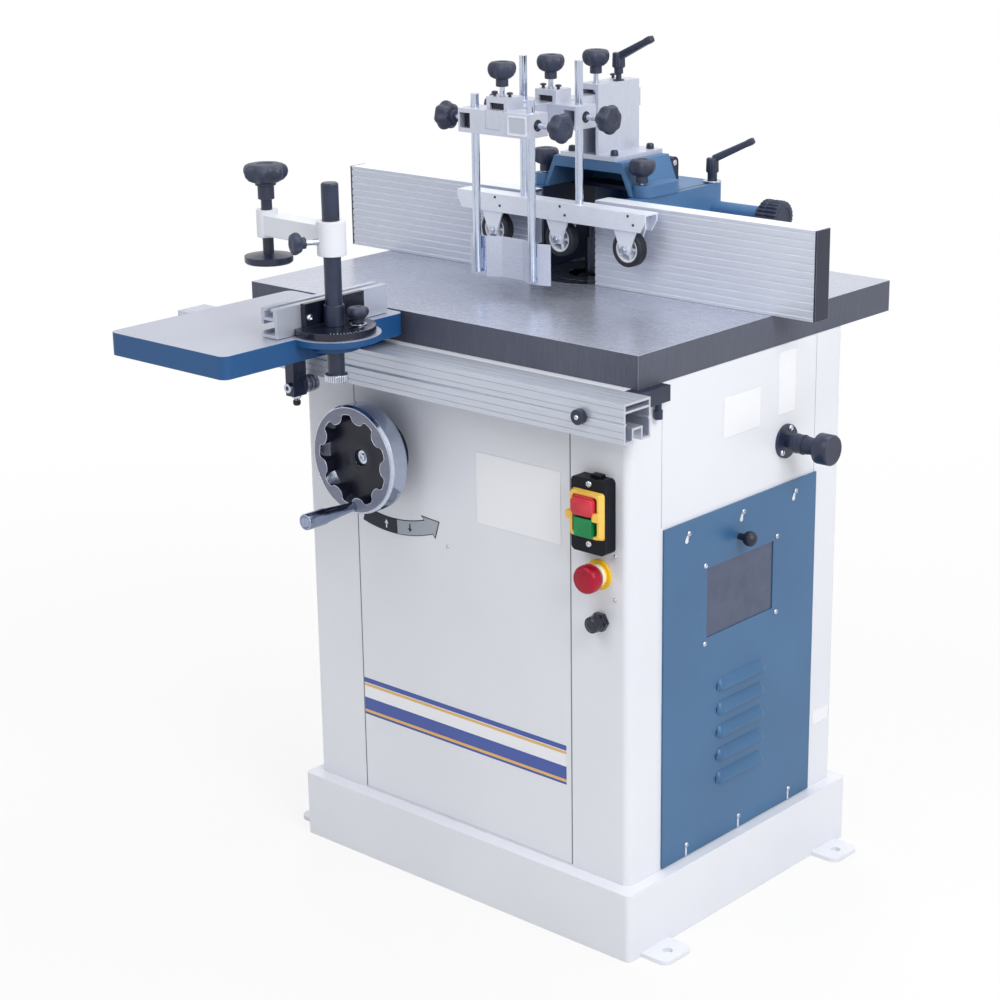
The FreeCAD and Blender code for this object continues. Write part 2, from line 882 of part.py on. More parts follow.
def spindle():
    shaft = turned([
        (0, pulley_low),
        (spindle_shaft_r, pulley_low),
        (spindle_shaft_r, quill_top + face_gap),
        (spindle_flange_r, quill_top + face_gap),
        (spindle_flange_r, flange_top),
        (spindle_shaft_r, flange_top),
        (spindle_shaft_r, shoulder_z),
        (arbor_r, shoulder_z),
        (arbor_r, shoulder_z + arbor_length),
        (arbor_thread_r, shoulder_z + arbor_length),
        (arbor_thread_r, shoulder_z + arbor_length + arbor_thread),
        (0, shoulder_z + arbor_length + arbor_thread),
    ], vec(spindle_x, spindle_y, 0), along_z)
    pieces = [shaft]
    for number in range(spacer_count):
        centre = vec(spindle_x, spindle_y, flange_top + number * spacer_height)
        pieces.append(ring(centre, along_z, spacer_r, spindle_shaft_r + slide_fit, spacer_height))
    pulley = vec(spindle_x, spindle_y, pulley_low)
    pieces.append(ring(pulley, along_z, spindle_pulley_r, spindle_shaft_r + slide_fit, pulley_height))
    return grouped(pieces)


def motor_body():
    can = rod(vec(motor_x, motor_y, quill_low), along_z, motor_r, motor_height)
    box_x = motor_x + motor_r - motor_box_sink
    lid = block((box_x, box_x + motor_box_depth), around(motor_y, motor_box_width),
                around(quill_low + motor_height / 2, motor_box_height))
    socket = rod(vec(motor_x, motor_y, quill_low - 1), along_z, motor_shaft_r + slide_fit, motor_shaft_socket)
    return fused([can, lid]).cut(socket)


def motor_pulley():
    foot = vec(motor_x, motor_y, pulley_low)
    shaft_length = quill_low + motor_shaft_socket - shaft_room - pulley_low
    return fused([
        rod(foot, along_z, motor_pulley_r, pulley_height),
        rod(foot, along_z, motor_shaft_r, shaft_length),
    ])


def drive_belt():
    zs = around((pulley_low + pulley_top) / 2, belt_width)
    spindle = (spindle_x, spindle_y)
    motor = (motor_x, motor_y)
    near = spindle_pulley_r + face_gap
    far = motor_pulley_r + face_gap
    outer = looped(spindle, near + belt_thick, motor, far + belt_thick, zs)
    return outer.cut(looped(spindle, near, motor, far, zs))


def rise_screw():
    # Screw hung from the table, with the lower bevel just under the handwheel shaft's height.
    top = cabinet_top + journal_length - journal_room
    apex = wheel_z - face_gap
    return fused([
        rod(vec(screw_x, screw_y, top - screw_length), along_z, screw_r, screw_length - journal_length),
        rod(vec(screw_x, screw_y, top - journal_length), along_z, journal_r, journal_length),
        cone(vec(screw_x, screw_y, apex - bevel_big_r), along_z, bevel_big_r, bevel_small_r,
             bevel_big_r - bevel_small_r),
    ])


def handwheel():
    # Wheel, crank pin and shaft with the upper bevel.
    front = wheel_depth
    wheel = turned([
        (wheel_shaft_r + slide_fit, 0),
        (hub_r, 0),
        (hub_r, web_back),
        (wheel_r - rim_width, web_back),
        (wheel_r - rim_width, rim_bevel - rim_back),
        (wheel_r - rim_bevel, -rim_back),
        (wheel_r, rim_round - rim_back),
        (wheel_r, front - rim_round),
        (wheel_r - rim_bevel, front),
        (wheel_r - rim_width, front - rim_lip),
        (wheel_r - rim_width - rim_round, web_front),
        (hub_r, web_front),
        (hub_r, hub_face),
        (hub_sink_r, hub_face),
        (hub_sink_r, hub_sink),
        (wheel_shaft_r + slide_fit, hub_sink),
    ], vec(wheel_x, wheel_back, wheel_z), -along_y)
    crank = vec(wheel_x, wheel_face + crank_pin_sink, wheel_z - crank_offset)
    pin = rod(crank, -along_y, crank_pin_r, crank_length - crank_pin_inset)
    shaft_end = screw_y - bevel_small_r - face_gap
    shaft_start = wheel_back - hub_sink
    bevel_back = shaft_end - (bevel_big_r - bevel_small_r)
    shaft = fused([
        rod(vec(wheel_x, shaft_start, wheel_z), along_y, wheel_shaft_r, shaft_end - shaft_start),
        cone(vec(wheel_x, bevel_back, wheel_z), along_y, bevel_big_r, bevel_small_r,
             bevel_big_r - bevel_small_r),
    ])
    return grouped([fused([wheel, pin]), shaft])


def crank_handle():
    grip = turned([
        (crank_pin_r + slide_fit, face_gap),
        (crank_root_r, face_gap),
        (crank_root_r, crank_neck),
        (crank_tip_r, crank_swell),
        (crank_tip_r, crank_length - crank_round),
        (crank_tip_r - crank_dome, crank_length),
        (0, crank_length),
        (0, crank_length - crank_pin_inset + crank_room),
        (crank_pin_r + slide_fit, crank_length - crank_pin_inset + crank_room),
    ], vec(wheel_x, wheel_face, wheel_z - crank_offset), -along_y)
    return grip


def bearing_flanges():
    wheel_boss = turned([
        (wheel_shaft_r + slide_fit, 0),
        (wheel_boss_r, 0),
        (wheel_boss_r, wheel_boss_length),
        (wheel_bearing_r, wheel_boss_length),
        (wheel_bearing_r, cabinet_front - bearing_face),
        (wheel_shaft_r + slide_fit, cabinet_front - bearing_face),
    ], vec(wheel_x, cabinet_front, wheel_z), -along_y)
    lock_boss = ring(vec(cabinet_right, lock_y, lock_z), along_x, lock_flange_r,
                     lock_stem_r + slide_fit, lock_flange)
    return grouped([wheel_boss, lock_boss])


def lock_plunger():
    step_start = lock_flange + lock_step_gap
    grip_start = lock_reach - lock_grip
    return turned([
        (0, -lock_inside),
        (lock_stem_r, -lock_inside),
        (lock_stem_r, step_start),
        (lock_step_r, step_start),
        (lock_step_r, step_start + lock_step),
        (lock_neck_r, step_start + lock_step),
        (lock_neck_r, grip_start),
        (lock_grip_r, grip_start),
        (lock_grip_r, lock_reach - lock_bevel),
        (lock_grip_r - lock_bevel, lock_reach),
        (0, lock_reach),
    ], vec(cabinet_right, lock_y, lock_z), along_x)


def button_frame(row):
    # The x and z ranges of a push button, row 0 below and row 1 above.
    middle = switch_low + switch_height / 2 + button_rise + (2 * row - 1) * (button_height + button_gap) / 2
    return around(switch_left + switch_width / 2, button_width), around(middle, button_height)


def switch_box():
    case = rounded_front((switch_left, switch_left + switch_width), (switch_face, cabinet_front),
                         (switch_low, switch_low + switch_height), switch_corner)
    pocket_back = switch_face + button_depth - button_proud + button_travel + face_gap
    for row in (0, 1):
        xs, zs = button_frame(row)
        case = case.cut(block((xs[0] - face_gap, xs[1] + face_gap), (switch_face - 1, pocket_back),
                              (zs[0] - face_gap, zs[1] + face_gap)))
    return case


def push_button(row):
    xs, zs = button_frame(row)
    front = switch_face - button_proud
    return block(xs, (front, front + button_depth), zs)


def estop_collar():
    plate = vec(stop_x, cabinet_front, stop_z)
    collar_face = stop_plate + stop_collar
    return turned([
        (stop_stem_r + slide_fit, 0),
        (stop_plate_r, 0),
        (stop_plate_r, stop_plate - stop_plate_bevel),
        (stop_plate_r - stop_plate_bevel, stop_plate),
        (stop_collar_r, stop_plate),
        (stop_collar_r, collar_face),
        (stop_stem_r + slide_fit, collar_face),
    ], plate, -along_y)


def estop_button():
    collar_face = stop_plate + stop_collar
    head_back = collar_face + stop_travel + face_gap
    return turned([
        (0, stop_travel + face_gap),
        (stop_stem_r, stop_travel + face_gap),
        (stop_stem_r, head_back),
        (stop_head_r, head_back),
        (stop_head_r, head_back + stop_head - stop_dome),
        (stop_head_r - stop_bevel, head_back + stop_head - stop_bevel),
        (stop_crown_r, head_back + stop_head),
        (0, head_back + stop_head),
    ], vec(stop_x, cabinet_front, stop_z), -along_y)


def cable_gland():
    corners = []
    for number in range(6):
        angle = math.pi * number / 3
        corners.append(vec(gland_x + gland_nut_r * math.cos(angle), cabinet_front,
                           gland_z + gland_nut_r * math.sin(angle)))
    nut = prism(corners, vec(0, -gland_nut, 0))
    body = rod(vec(gland_x, cabinet_front, gland_z), -along_y, gland_body_r, gland_nut + gland_body)
    bore = rod(vec(gland_x, cabinet_front - gland_floor, gland_z), -along_y, gland_bore_r,
               gland_nut + gland_body)
    return fused([nut, body]).cut(bore)


def rail_point(across, up):
    return vec(rail_left, rail_front + across, rail_low + up)


def rail_prism(outline):
    return prism([rail_point(a, u) for a, u in outline], vec(rail_right - rail_left, 0, 0))


def rail_wedge(depth, half):
    # The V of the grooves in both walls, as prisms that taper inward.
    middle = rail_height / 2
    front = [(0, middle - half), (depth, middle), (0, middle + half)]
    back = [(rail_depth - a, u) for a, u in front]
    return grouped([rail_prism(front), rail_prism(back)])


def rail_rect(across, up):
    return rail_prism([(across[0], up[0]), (across[1], up[0]), (across[1], up[1]), (across[0], up[1])])


def slide_rail():
    inside = (rail_wall, rail_depth - rail_wall)
    web_low = rail_height - rail_web_drop
    slot = around(rail_depth / 2, rail_slot_width)
    outer = rail_rect((0, rail_depth), (0, rail_height))
    upper_room = rail_rect(inside, (web_low + rail_wall, rail_height - rail_wall))
    lower_room = rail_rect(inside, (rail_wall, web_low))
    grown = rail_groove + rail_wall
    channel = rail_rect((slot[0] - rail_wall, slot[1] + rail_wall), (0, rail_slot_depth + rail_wall))
    shell = outer.cut(upper_room).cut(lower_room)
    wedges = rail_wedge(grown, grown)
    body = fused([shell, channel] + wedges.Solids)
    return body.cut(rail_wedge(rail_groove, rail_groove)).cut(rail_rect(slot, (-1, rail_slot_depth)))


def rail_brackets():
    pieces = []
    right_x = cabinet_right - bar_right_inset
    left_x = cabinet_left - bar_left_gap - bar_width
    for bar_x in (left_x, right_x):
        low = cabinet_top - bar_height
        pieces.append(block((bar_x, bar_x + bar_width), (cabinet_front, cabinet_front + bar_length),
                            (low, cabinet_top)))
        bolt = vec(bar_x + bar_width - bar_bolt_head_r, cabinet_front + bar_length - bar_bolt_inset, low)
        pieces.append(fused([
            rod(bolt, -along_z, bar_bolt_r, bar_bolt),
            rod(bolt - vec(0, 0, bar_bolt), -along_z, bar_bolt_head_r, bar_bolt_head),
        ]))
    stop = vec(bumper_x, rail_front, rail_low + rail_height / 2)
    pieces.append(rod(stop, -along_y, bumper_r, bumper_depth))
    return grouped(pieces)


def sliding_table():
    slab = rounded((slide_left, slide_right), (slide_front, slide_back), (slide_low, table_top), slide_corner)
    bulge = rod(vec(post_x, post_y, bulge_low), along_z, bulge_r, bulge_height)
    boss = rod(vec(post_x, post_y, boss_low), along_z, post_boss_r, post_boss)
    seat_front = slide_back - slide_seat_front
    pocket = rounded((slide_left + slide_rim, slide_right - bulge_r), (slide_front + slide_rim, seat_front),
                     (slide_low - 1, table_top - slide_plate), slide_corner - 2)
    shoe = block((slide_left + shoe_end_gap, slide_right - shoe_end_gap),
                 (rail_front + shoe_inset, cabinet_front - shoe_inset), (rail_top + face_gap, slide_low))
    hole = rod(vec(post_x, post_y, slide_low - 1), along_z, post_r + slide_fit, slide_height + 2)
    return fused([slab.cut(pocket), bulge, boss, shoe]).cut(hole)


def roller_block():
    low = roller_z - block_low / 2
    body = block(around(block_x, block_width), (block_front, block_back), (low, slide_low))
    axle = rod(vec(block_x, block_front - axle_head, roller_z), along_y, axle_r,
               axle_head + block_depth + face_gap + roller_width)
    head = rod(vec(block_x, block_front - axle_head, roller_z), along_y, axle_head_r, axle_head)
    middle_y = (block_front + block_back) / 2
    screw = rod(vec(block_x, middle_y, low - set_screw), along_z, set_screw_r, set_screw)
    return fused([body, axle, head, screw])


def guide_roller():
    foot = vec(block_x, block_back + face_gap, roller_z)
    return ring(foot, along_y, roller_r, axle_r + slide_fit, roller_width)


def mitre_disc():
    centre = vec(post_x, post_y, disc_low)
    disc = rod(centre, along_z, disc_r, disc_thick)
    keep = block((bracket_x, post_x + disc_r + 1), around(post_y, 2 * disc_r + 2),
                 (disc_low - 1, disc_top + 1))
    bracket = block((bracket_x, bracket_x + bracket_thick), (post_y - bracket_back, post_y + bracket_front),
                    (disc_top, disc_top + bracket_height))
    post_hole = rod(centre - vec(0, 0, 1), along_z, post_r + slide_fit, disc_thick + 2)
    outer = mitre_slot_r + mitre_slot_width / 2
    inner = mitre_slot_r - mitre_slot_width / 2
    start = mitre_slot_angle - mitre_slot_sweep / 2
    sweep = Part.makeCylinder(outer, disc_thick + 2, centre - vec(0, 0, 1), along_z, mitre_slot_sweep)
    sweep.rotate(centre, along_z, start)
    slot = sweep.cut(rod(centre - vec(0, 0, 1), along_z, inner, disc_thick + 2))
    return fused([disc.common(keep), bracket]).cut(post_hole).cut(slot)


def mitre_fence():
    right = bracket_x
    left = right - mitre_fence_width
    middle = (left + right) / 2
    low = table_top + mitre_fence_lift
    top = low + mitre_fence_height
    ys = (post_y - mitre_fence_back, post_y + mitre_fence_front)
    inside = (left + mitre_fence_wall, right - mitre_fence_wall)
    pocket_low = top - mitre_fence_wall - mitre_fence_slot
    room_top = pocket_low - mitre_fence_wall
    slot_z = low + mitre_fence_height / 3
    return block((left, right), ys, (low, top)).cut(grouped([
        block(around(middle, mitre_fence_pocket), ys, (pocket_low, top - mitre_fence_wall)),
        block(around(middle, mitre_fence_mouth), ys, (top - mitre_fence_wall, top + 1)),
        block(inside, ys, (low + mitre_fence_wall, room_top)),
        block((left - 1, left + mitre_fence_wall), ys, around(slot_z, mitre_fence_slot)),
    ]))


def mitre_knob():
    angle = math.radians(mitre_slot_angle)
    foot = vec(post_x + mitre_slot_r * math.cos(angle), post_y + mitre_slot_r * math.sin(angle), disc_low)
    washer = rod(foot + vec(0, 0, disc_thick + face_gap), along_z, mitre_washer_r, mitre_washer)
    knob = star_knob(mitre_knob_r, mitre_knob_height, mitre_knob_hub_r, mitre_knob_hub, mitre_screw_r,
                     disc_thick + face_gap + mitre_washer)
    return fused([placed(knob, foot), washer])


def hold_post():
    nut_low = boss_low - post_nut_drop
    nut_top = nut_low + post_nut
    return turned([
        (0, nut_low),
        (post_nut_r, nut_low),
        (post_nut_r, nut_top),
        (post_r, nut_top),
        (post_r, post_top - post_bevel),
        (post_r - post_bevel, post_top),
        (0, post_top),
    ], vec(post_x, post_y, 0), along_z)


def arm_lock_axis():
    angle = math.radians(arm_lock_angle)
    return vec(math.cos(angle), math.sin(angle), 0)


def hold_arm():
    end_x = post_x - arm_reach
    web_low = table_top + arm_web_lift
    boss = rod(vec(post_x, post_y, arm_low), along_z, arm_boss_r, arm_boss)
    end = rod(vec(end_x, post_y, arm_end_low), along_z, arm_end_r, arm_end)
    web = looped(vec(end_x, post_y, 0), arm_web_end_r, vec(post_x, post_y, 0), arm_web_boss_r,
                 (web_low, web_low + arm_web_height))
    lock_z0 = arm_low + arm_boss - arm_lock_drop
    bores = grouped([
        rod(vec(post_x, post_y, arm_low - 1), along_z, post_r + slide_fit, arm_boss + 2),
        rod(vec(end_x, post_y, arm_end_low - 1), along_z, hold_screw_r + slide_fit, arm_end + 2),
        rod(vec(post_x, post_y, lock_z0), arm_lock_axis(), arm_lock_screw_r + slide_fit,
            arm_boss_r + arm_lock_screw),
    ])
    return fused([boss, end, web]).cut(bores)


def hold_screw():
    end_x = post_x - arm_reach
    return turned([
        (0, pad_low),
        (pad_r - pad_bevel, pad_low),
        (pad_r, pad_low + pad_bevel),
        (pad_r, pad_low + pad_thick - pad_crown),
        (hold_screw_r + pad_crown, pad_low + pad_thick),
        (hold_screw_r, pad_low + pad_thick),
        (hold_screw_r, pad_low + pad_thick + hold_screw_length),
        (0, pad_low + pad_thick + hold_screw_length),
    ], vec(end_x, post_y, 0), along_z)


def hold_knob():
    sleeve_low = pad_low + pad_thick + hold_knob_gap
    knob = star_knob(hold_knob_r, hold_knob_height, hold_collar_r, hold_collar, hold_sleeve_r,
                     hold_sleeve - hold_collar)
    bore_depth = hold_screw_length - hold_knob_gap + face_gap
    bore = rod(vec(0, 0, -1), along_z, hold_screw_r + slide_fit, bore_depth + 1)
    return placed(knob.cut(bore), vec(post_x - arm_reach, post_y, sleeve_low))


def arm_lock_knob():
    lock_z0 = arm_low + arm_boss - arm_lock_drop
    tip = vec(post_x, post_y, lock_z0) + arm_lock_axis() * (post_r + face_gap)
    shank = arm_boss_r - post_r + arm_lock_screw
    knob = star_knob(arm_lock_r, arm_lock_height, arm_lock_hub_r, arm_lock_hub, arm_lock_screw_r, shank)
    return placed(knob, tip, arm_lock_axis())


def fence_plate(side):
    # A grooved hollow extrusion with its outer end capped, side -1 to the left and 1 to the right.
    if side < 0:
        inner = spindle_x - fence_left_gap
        outer = inner - fence_left_length
    else:
        inner = spindle_x + fence_right_gap
        outer = inner + fence_right_length
    xs = sorted((inner, outer - side * fence_cap))
    ys = (fence_y, fence_back)
    zs = (fence_low, fence_low + fence_plate_height)
    pitch = fence_plate_height / fence_groove_count
    cuts = []
    for number in range(fence_groove_count):
        cuts.append(block(xs, (fence_y - 1, fence_y + fence_groove_depth),
                          around(fence_low + (number + 0.5) * pitch, fence_groove)))
    room_height = (fence_plate_height - 4 * fence_plate_wall) / 3
    for number in range(3):
        low = fence_low + fence_plate_wall + number * (room_height + fence_plate_wall)
        cuts.append(block(xs, (fence_y + fence_plate_wall, fence_back - fence_plate_wall),
                          (low, low + room_height)))
        if number != 1:
            cuts.append(block(xs, (fence_back - 2 * fence_plate_wall, fence_back + 1),
                              around(low + room_height / 2, fence_slot)))
    plate = block(xs, ys, zs).cut(grouped(cuts))
    cap = block(sorted((outer - side * fence_cap, outer)), ys, zs)
    return grouped([plate, cap])


def fence_base():
    # Two side arms, a roofed rear body with the dust spigot, and the hinge lugs for the hood.
    low = fence_low
    half = base_half_width
    outer = rounded(around(spindle_x, 2 * half), (base_front, base_back), (low, base_top), base_corner)
    square_front = block(around(spindle_x, 2 * half), (base_front, base_front + base_corner), (low, base_top))
    room = block(around(spindle_x, 2 * base_inner), (base_front - 1, base_back - base_back_wall),
                 (low - 1, base_top - base_roof))
    sky = block(around(spindle_x, 2 * base_inner), (base_front - 1, roof_front), (low - 1, base_top + 1))
    spigot_foot = vec(spindle_x, base_back - base_back_wall, low + spigot_lift)
    spigot = rod(spigot_foot, along_y, spigot_r, base_back_wall + spigot_length)
    spigot_bore = rod(spigot_foot - vec(0, 1, 0), along_y, spigot_r - spigot_wall,
                      base_back_wall + spigot_length + 2)
    tube_y = base_back - tube_inset
    tube_z = low + tube_lift
    tube = rod(vec(spindle_x + half - 1, tube_y, tube_z), along_x, tube_r, tube_length + 1)
    tube_end = spindle_x + half + tube_length
    socket = rod(vec(tube_end - adjust_socket, tube_y, tube_z), along_x, adjust_shaft_r + slide_fit,
                 adjust_socket + 1)
    solids = [fused([outer, square_front]).cut(grouped([room, sky])), spigot, tube]
    pins = []
    for side in (-1, 1):
        middle = spindle_x + side * hinge_offset
        inner_face = hinge_barrel / 2 + face_gap
        for step in (-inner_face - hinge_lug, inner_face):
            xs = (middle + step, middle + step + hinge_lug)
            solids.append(block(xs, around(hinge_y, 2 * hinge_barrel_r), (base_top - base_roof, hinge_z)))
            solids.append(rod(vec(xs[0], hinge_y, hinge_z), along_x, hinge_barrel_r, hinge_lug))
        pin_start = middle - inner_face - hinge_lug
        pins.append(rod(vec(pin_start, hinge_y, hinge_z), along_x, hinge_pin_r, 2 * (inner_face + hinge_lug)))
    return fused(solids + pins).cut(grouped([spigot_bore, socket]))


def adjust_knob():
    start = spindle_x + base_half_width + tube_length + face_gap
    axis = vec(start, base_back - tube_inset, fence_low + tube_lift)
    core_r = adjust_knob_r - adjust_knob_rib_r
    solids = [
        rod(axis, along_x, core_r, adjust_knob_length),
        rod(axis - vec(adjust_socket - shaft_room, 0, 0), along_x, adjust_shaft_r, adjust_socket),
    ]
    for number in range(adjust_knob_ribs):
        angle = 2 * math.pi * number / adjust_knob_ribs
        foot = axis + vec(adjust_bevel, core_r * math.cos(angle), core_r * math.sin(angle))
        solids.append(rod(foot, along_x, adjust_knob_rib_r, adjust_knob_length - 2 * adjust_bevel))
    return fused(solids)


def hood_section(half_low, half_top, low, top, y):
    return [
        vec(spindle_x - half_low, y, low),
        vec(spindle_x + half_low, y, low),
        vec(spindle_x + half_top, y, top),
        vec(spindle_x - half_top, y, top),
    ]


def hood():
    outer = prism(hood_section(hood_half_low, hood_half_top, hood_low, hood_top, hood_front),
                  vec(0, hood_length, 0))
    room = prism(hood_section(hood_half_low - hood_wall, hood_half_top - hood_wall, hood_low - 1,
                              hood_top - hood_wall, hood_front - 1),
                 vec(0, hood_length - hood_wall + 1, 0))
    brow = block(around(spindle_x, 2 * hood_half_top), (hood_front, hood_front + hood_wall),
                 (hood_top - hood_brow, hood_top - hood_wall))
    solids = [outer.cut(room), brow]
    for side in (-1, 1):
        xs = sorted((spindle_x + side * (hood_half_low - hood_wall), spindle_x + side * ear_half_out))
        ys = (hood_front + ear_front, hood_front + ear_back)
        solids.append(rounded(xs, ys, (hood_low, hood_low + ear_height), ear_corner))
        middle = spindle_x + side * hinge_offset
        xs = around(middle, hinge_barrel)
        solids.append(block(xs, (hood_back - hood_wall, hinge_y), around(hinge_z, hinge_barrel_r)))
        solids.append(rod(vec(xs[0], hinge_y, hinge_z), along_x, hinge_barrel_r, hinge_barrel))
    bores = []
    for side in (-1, 1):
        xs = around(spindle_x + side * hinge_offset, hinge_barrel + 2)
        bores.append(rod(vec(xs[0], hinge_y, hinge_z), along_x, hinge_pin_r + slide_fit, hinge_barrel + 2))
        knob = vec(spindle_x + side * hood_knob_offset, hood_front + hood_knob_y, hood_low - 1)
        bores.append(rod(knob, along_z, star_screw_r + slide_fit, ear_height + 2))
    return fused(solids).cut(grouped(bores))


def hood_knob(side):
    foot = vec(spindle_x + side * hood_knob_offset, hood_front + hood_knob_y, hood_low + face_gap)
    screw = ear_height - face_gap + star_screw_show / 2
    return placed(star_knob(star_r, star_height, star_hub_r, star_hub, star_screw_r, screw), foot)


def pressure_tower():
    half = tower_half
    ys = (hood_front + tower_front, hood_front + tower_back)
    inner = half - tower_wall
    flange = block(around(spindle_x, 2 * flange_half),
                   (hood_front + flange_front, hood_front + flange_back), (hood_top, tower_low))
    column = block(around(spindle_x, 2 * half), ys, (tower_low - 1, tower_top))
    room = block(around(spindle_x, 2 * inner), (ys[0] - 1, ys[1] - tower_wall),
                 (tower_low, arm_bar_low - face_gap - tower_floor))
    passage = block(around(spindle_x, arm_bar_width + 2 * face_gap), (ys[0] - 1, ys[1] + 1),
                    (arm_bar_low - face_gap, tower_top - tower_roof))
    screw_hole = rod(vec(spindle_x, hood_front + star_r, tower_top - tower_roof - 1), along_z,
                     star_screw_r + slide_fit, tower_roof + 2)
    return fused([flange, column.cut(grouped([room, passage]))]).cut(screw_hole)


def pressure_arm():
    return block(around(spindle_x, arm_bar_width), (arm_bar_front, arm_bar_front + arm_bar_length),
                 (arm_bar_low, arm_bar_top))


def rod_holder(middle_y):
    # A bar across the rods, with a window at each, and a clamp block on the arm.
    ys = around(middle_y, holder_length)
    block_zs = (holder_low, holder_top)
    tube_zs = (holder_low, holder_tube_top)
    solids = [
        block(around(spindle_x, 2 * holder_block_half), (ys[0] + holder_step, ys[1]), block_zs),
        block(around(spindle_x, 2 * press_rod_spread), ys, tube_zs),
    ]
    cuts = [
        block(around(spindle_x, arm_bar_width + 2 * face_gap), (ys[0] - 1, ys[1] + 1),
              (arm_bar_low - face_gap, arm_bar_top + arm_head_room)),
        rod(vec(spindle_x, middle_y, arm_bar_top), along_z, star_screw_r + slide_fit, holder_block_height),
    ]
    for side in (-1, 1):
        rod_x = spindle_x + side * press_rod_spread
        tube_x = around(rod_x, holder_tube_width)
        solids.append(block(tube_x, ys, tube_zs))
        cuts.append(block(around(rod_x, holder_tube_width - 2 * holder_tube_wall),
                          (ys[0] - 1, ys[0] + holder_window),
                          (holder_low + 2 * holder_tube_wall, holder_tube_top - 2 * holder_tube_wall)))
        cuts.append(rod(vec(rod_x, middle_y, holder_low - 1), along_z, press_rod_r + slide_fit,
                        holder_tube_height + 2))
        wall_x = rod_x + side * (press_rod_r + 1)
        cuts.append(rod(vec(wall_x, middle_y, side_knob_z()), along_x * side, star_screw_r + slide_fit,
                        holder_tube_width))
    return fused(solids).cut(grouped(cuts))


def side_knob_z():
    return holder_low + holder_tube_height / 2


def top_knob(middle_y, block_top):
    foot = vec(spindle_x, middle_y, arm_bar_top + face_gap)
    screw = block_top - arm_bar_top - face_gap + star_screw_show
    return placed(star_knob(star_r, star_height, star_hub_r, star_hub, star_screw_r, screw), foot)


def side_knobs(middle_y):
    pair = []
    screw = holder_tube_width / 2 - press_rod_r - face_gap + side_star_show
    for side in (-1, 1):
        tip = vec(spindle_x + side * (press_rod_spread + press_rod_r + face_gap), middle_y, side_knob_z())
        knob = star_knob(side_star_r, star_height, star_hub_r, star_hub / 2, star_screw_r, screw)
        pair.append(placed(knob, tip, along_x * side))
    return grouped(pair)


def press_wheel_x(number):
    return spindle_x + press_wheel_first + number * press_wheel_pitch


def roller_bar():
    xs = (spindle_x - roller_bar_left, spindle_x + roller_bar_right)
    ys = around(rear_holder_y, roller_bar_depth)
    channel = block(xs, ys, (roller_bar_top - roller_bar_flange, roller_bar_top))
    room = block((xs[0] - 1, xs[1] + 1), (ys[0] + roller_bar_wall, ys[1] - roller_bar_wall),
                 (roller_bar_top - roller_bar_flange - 1, roller_bar_top - roller_bar_wall))
    low = roller_bar_top - roller_bar_flange
    nips = []
    for end, inward in ((xs[0], 1), (xs[1], -1)):
        nips.append(prism([
            vec(end - inward, ys[0] - 1, low - 1),
            vec(end + inward * roller_bar_nip, ys[0] - 1, low - 1),
            vec(end - inward, ys[0] - 1, low + roller_bar_nip_height),
        ], vec(0, roller_bar_depth + 2, 0)))
    solids = [channel.cut(room).cut(grouped(nips))]
    for side in (-1, 1):
        foot = vec(spindle_x + side * press_rod_spread, rear_holder_y, roller_bar_top - 1)
        solids.append(rod(foot, along_z, press_rod_r, rear_rod_length + 1))
    plate_high = roller_bar_top - roller_bar_wall
    plate_low_z = press_axle_z - bracket_low_width / 2
    for number in range(press_wheel_count):
        x = press_wheel_x(number)
        for y in (ys[0] + roller_bar_wall, ys[1] - roller_bar_wall - bracket_sheet):
            solids.append(prism([
                vec(x - bracket_low_width / 2, y, plate_low_z),
                vec(x + bracket_low_width / 2, y, plate_low_z),
                vec(x + bracket_top_width / 2, y, roller_bar_top - roller_bar_flange),
                vec(x + bracket_top_width / 2, y, plate_high),
                vec(x - bracket_top_width / 2, y, plate_high),
                vec(x - bracket_top_width / 2, y, roller_bar_top - roller_bar_flange),
            ], vec(0, bracket_sheet, 0)))
        solids.append(rod(vec(x, ys[0] + roller_bar_wall, press_axle_z), along_y, press_axle_r,
                          roller_bar_depth - 2 * roller_bar_wall))
    return fused(solids)


def press_roller(number):
    foot = vec(press_wheel_x(number), rear_holder_y - press_wheel_width / 2, press_axle_z)
    return ring(foot, along_y, press_wheel_r, press_axle_r + slide_fit, press_wheel_width)


def shoe_path():
    # The bent sheet's middle line in plan, from the middle of the rods.
    half = [
        (shoe_valley, shoe_valley_y),
        (shoe_inner_fold, shoe_fold_y),
        (shoe_fold, shoe_fold_y),
        (shoe_flank, shoe_flank_y),
    ]
    return [(-x, y) for x, y in reversed(half)] + half


def thickened(path, thick):
    # Both sides of a bent line, each point moved along the mean of its two normals.
    sides = [[], []]
    for number, (x, y) in enumerate(path):
        before = path[max(number - 1, 0)]
        after = path[min(number + 1, len(path) - 1)]
        length = math.hypot(after[0] - before[0], after[1] - before[1])
        across = (-(after[1] - before[1]) / length, (after[0] - before[0]) / length)
        for side, sign in zip(sides, (-1, 1)):
            side.append((x + sign * across[0] * thick / 2, y + sign * across[1] * thick / 2))
    return sides[0] + sides[1][::-1]


def pressure_shoe():
    low = front_rod_high - front_rod_length
    shoe_low = low - (shoe_height - shoe_rod_overlap)
    outline = thickened(shoe_path(), shoe_sheet)
    corners = [vec(spindle_x + x, front_holder_y + y, shoe_low) for x, y in outline]
    solids = [prism(corners, vec(0, 0, shoe_height))]
    for side in (-1, 1):
        rod_x = spindle_x + side * press_rod_spread
        solids.append(rod(vec(rod_x, front_holder_y, low), along_z, press_rod_r, front_rod_length))
        solids.append(block(around(rod_x, shoe_lug_width),
                            (front_holder_y, front_holder_y + shoe_fold_y),
                            (low + shoe_lug_rise, low + shoe_lug_rise + shoe_lug_height)))
    return fused(solids)


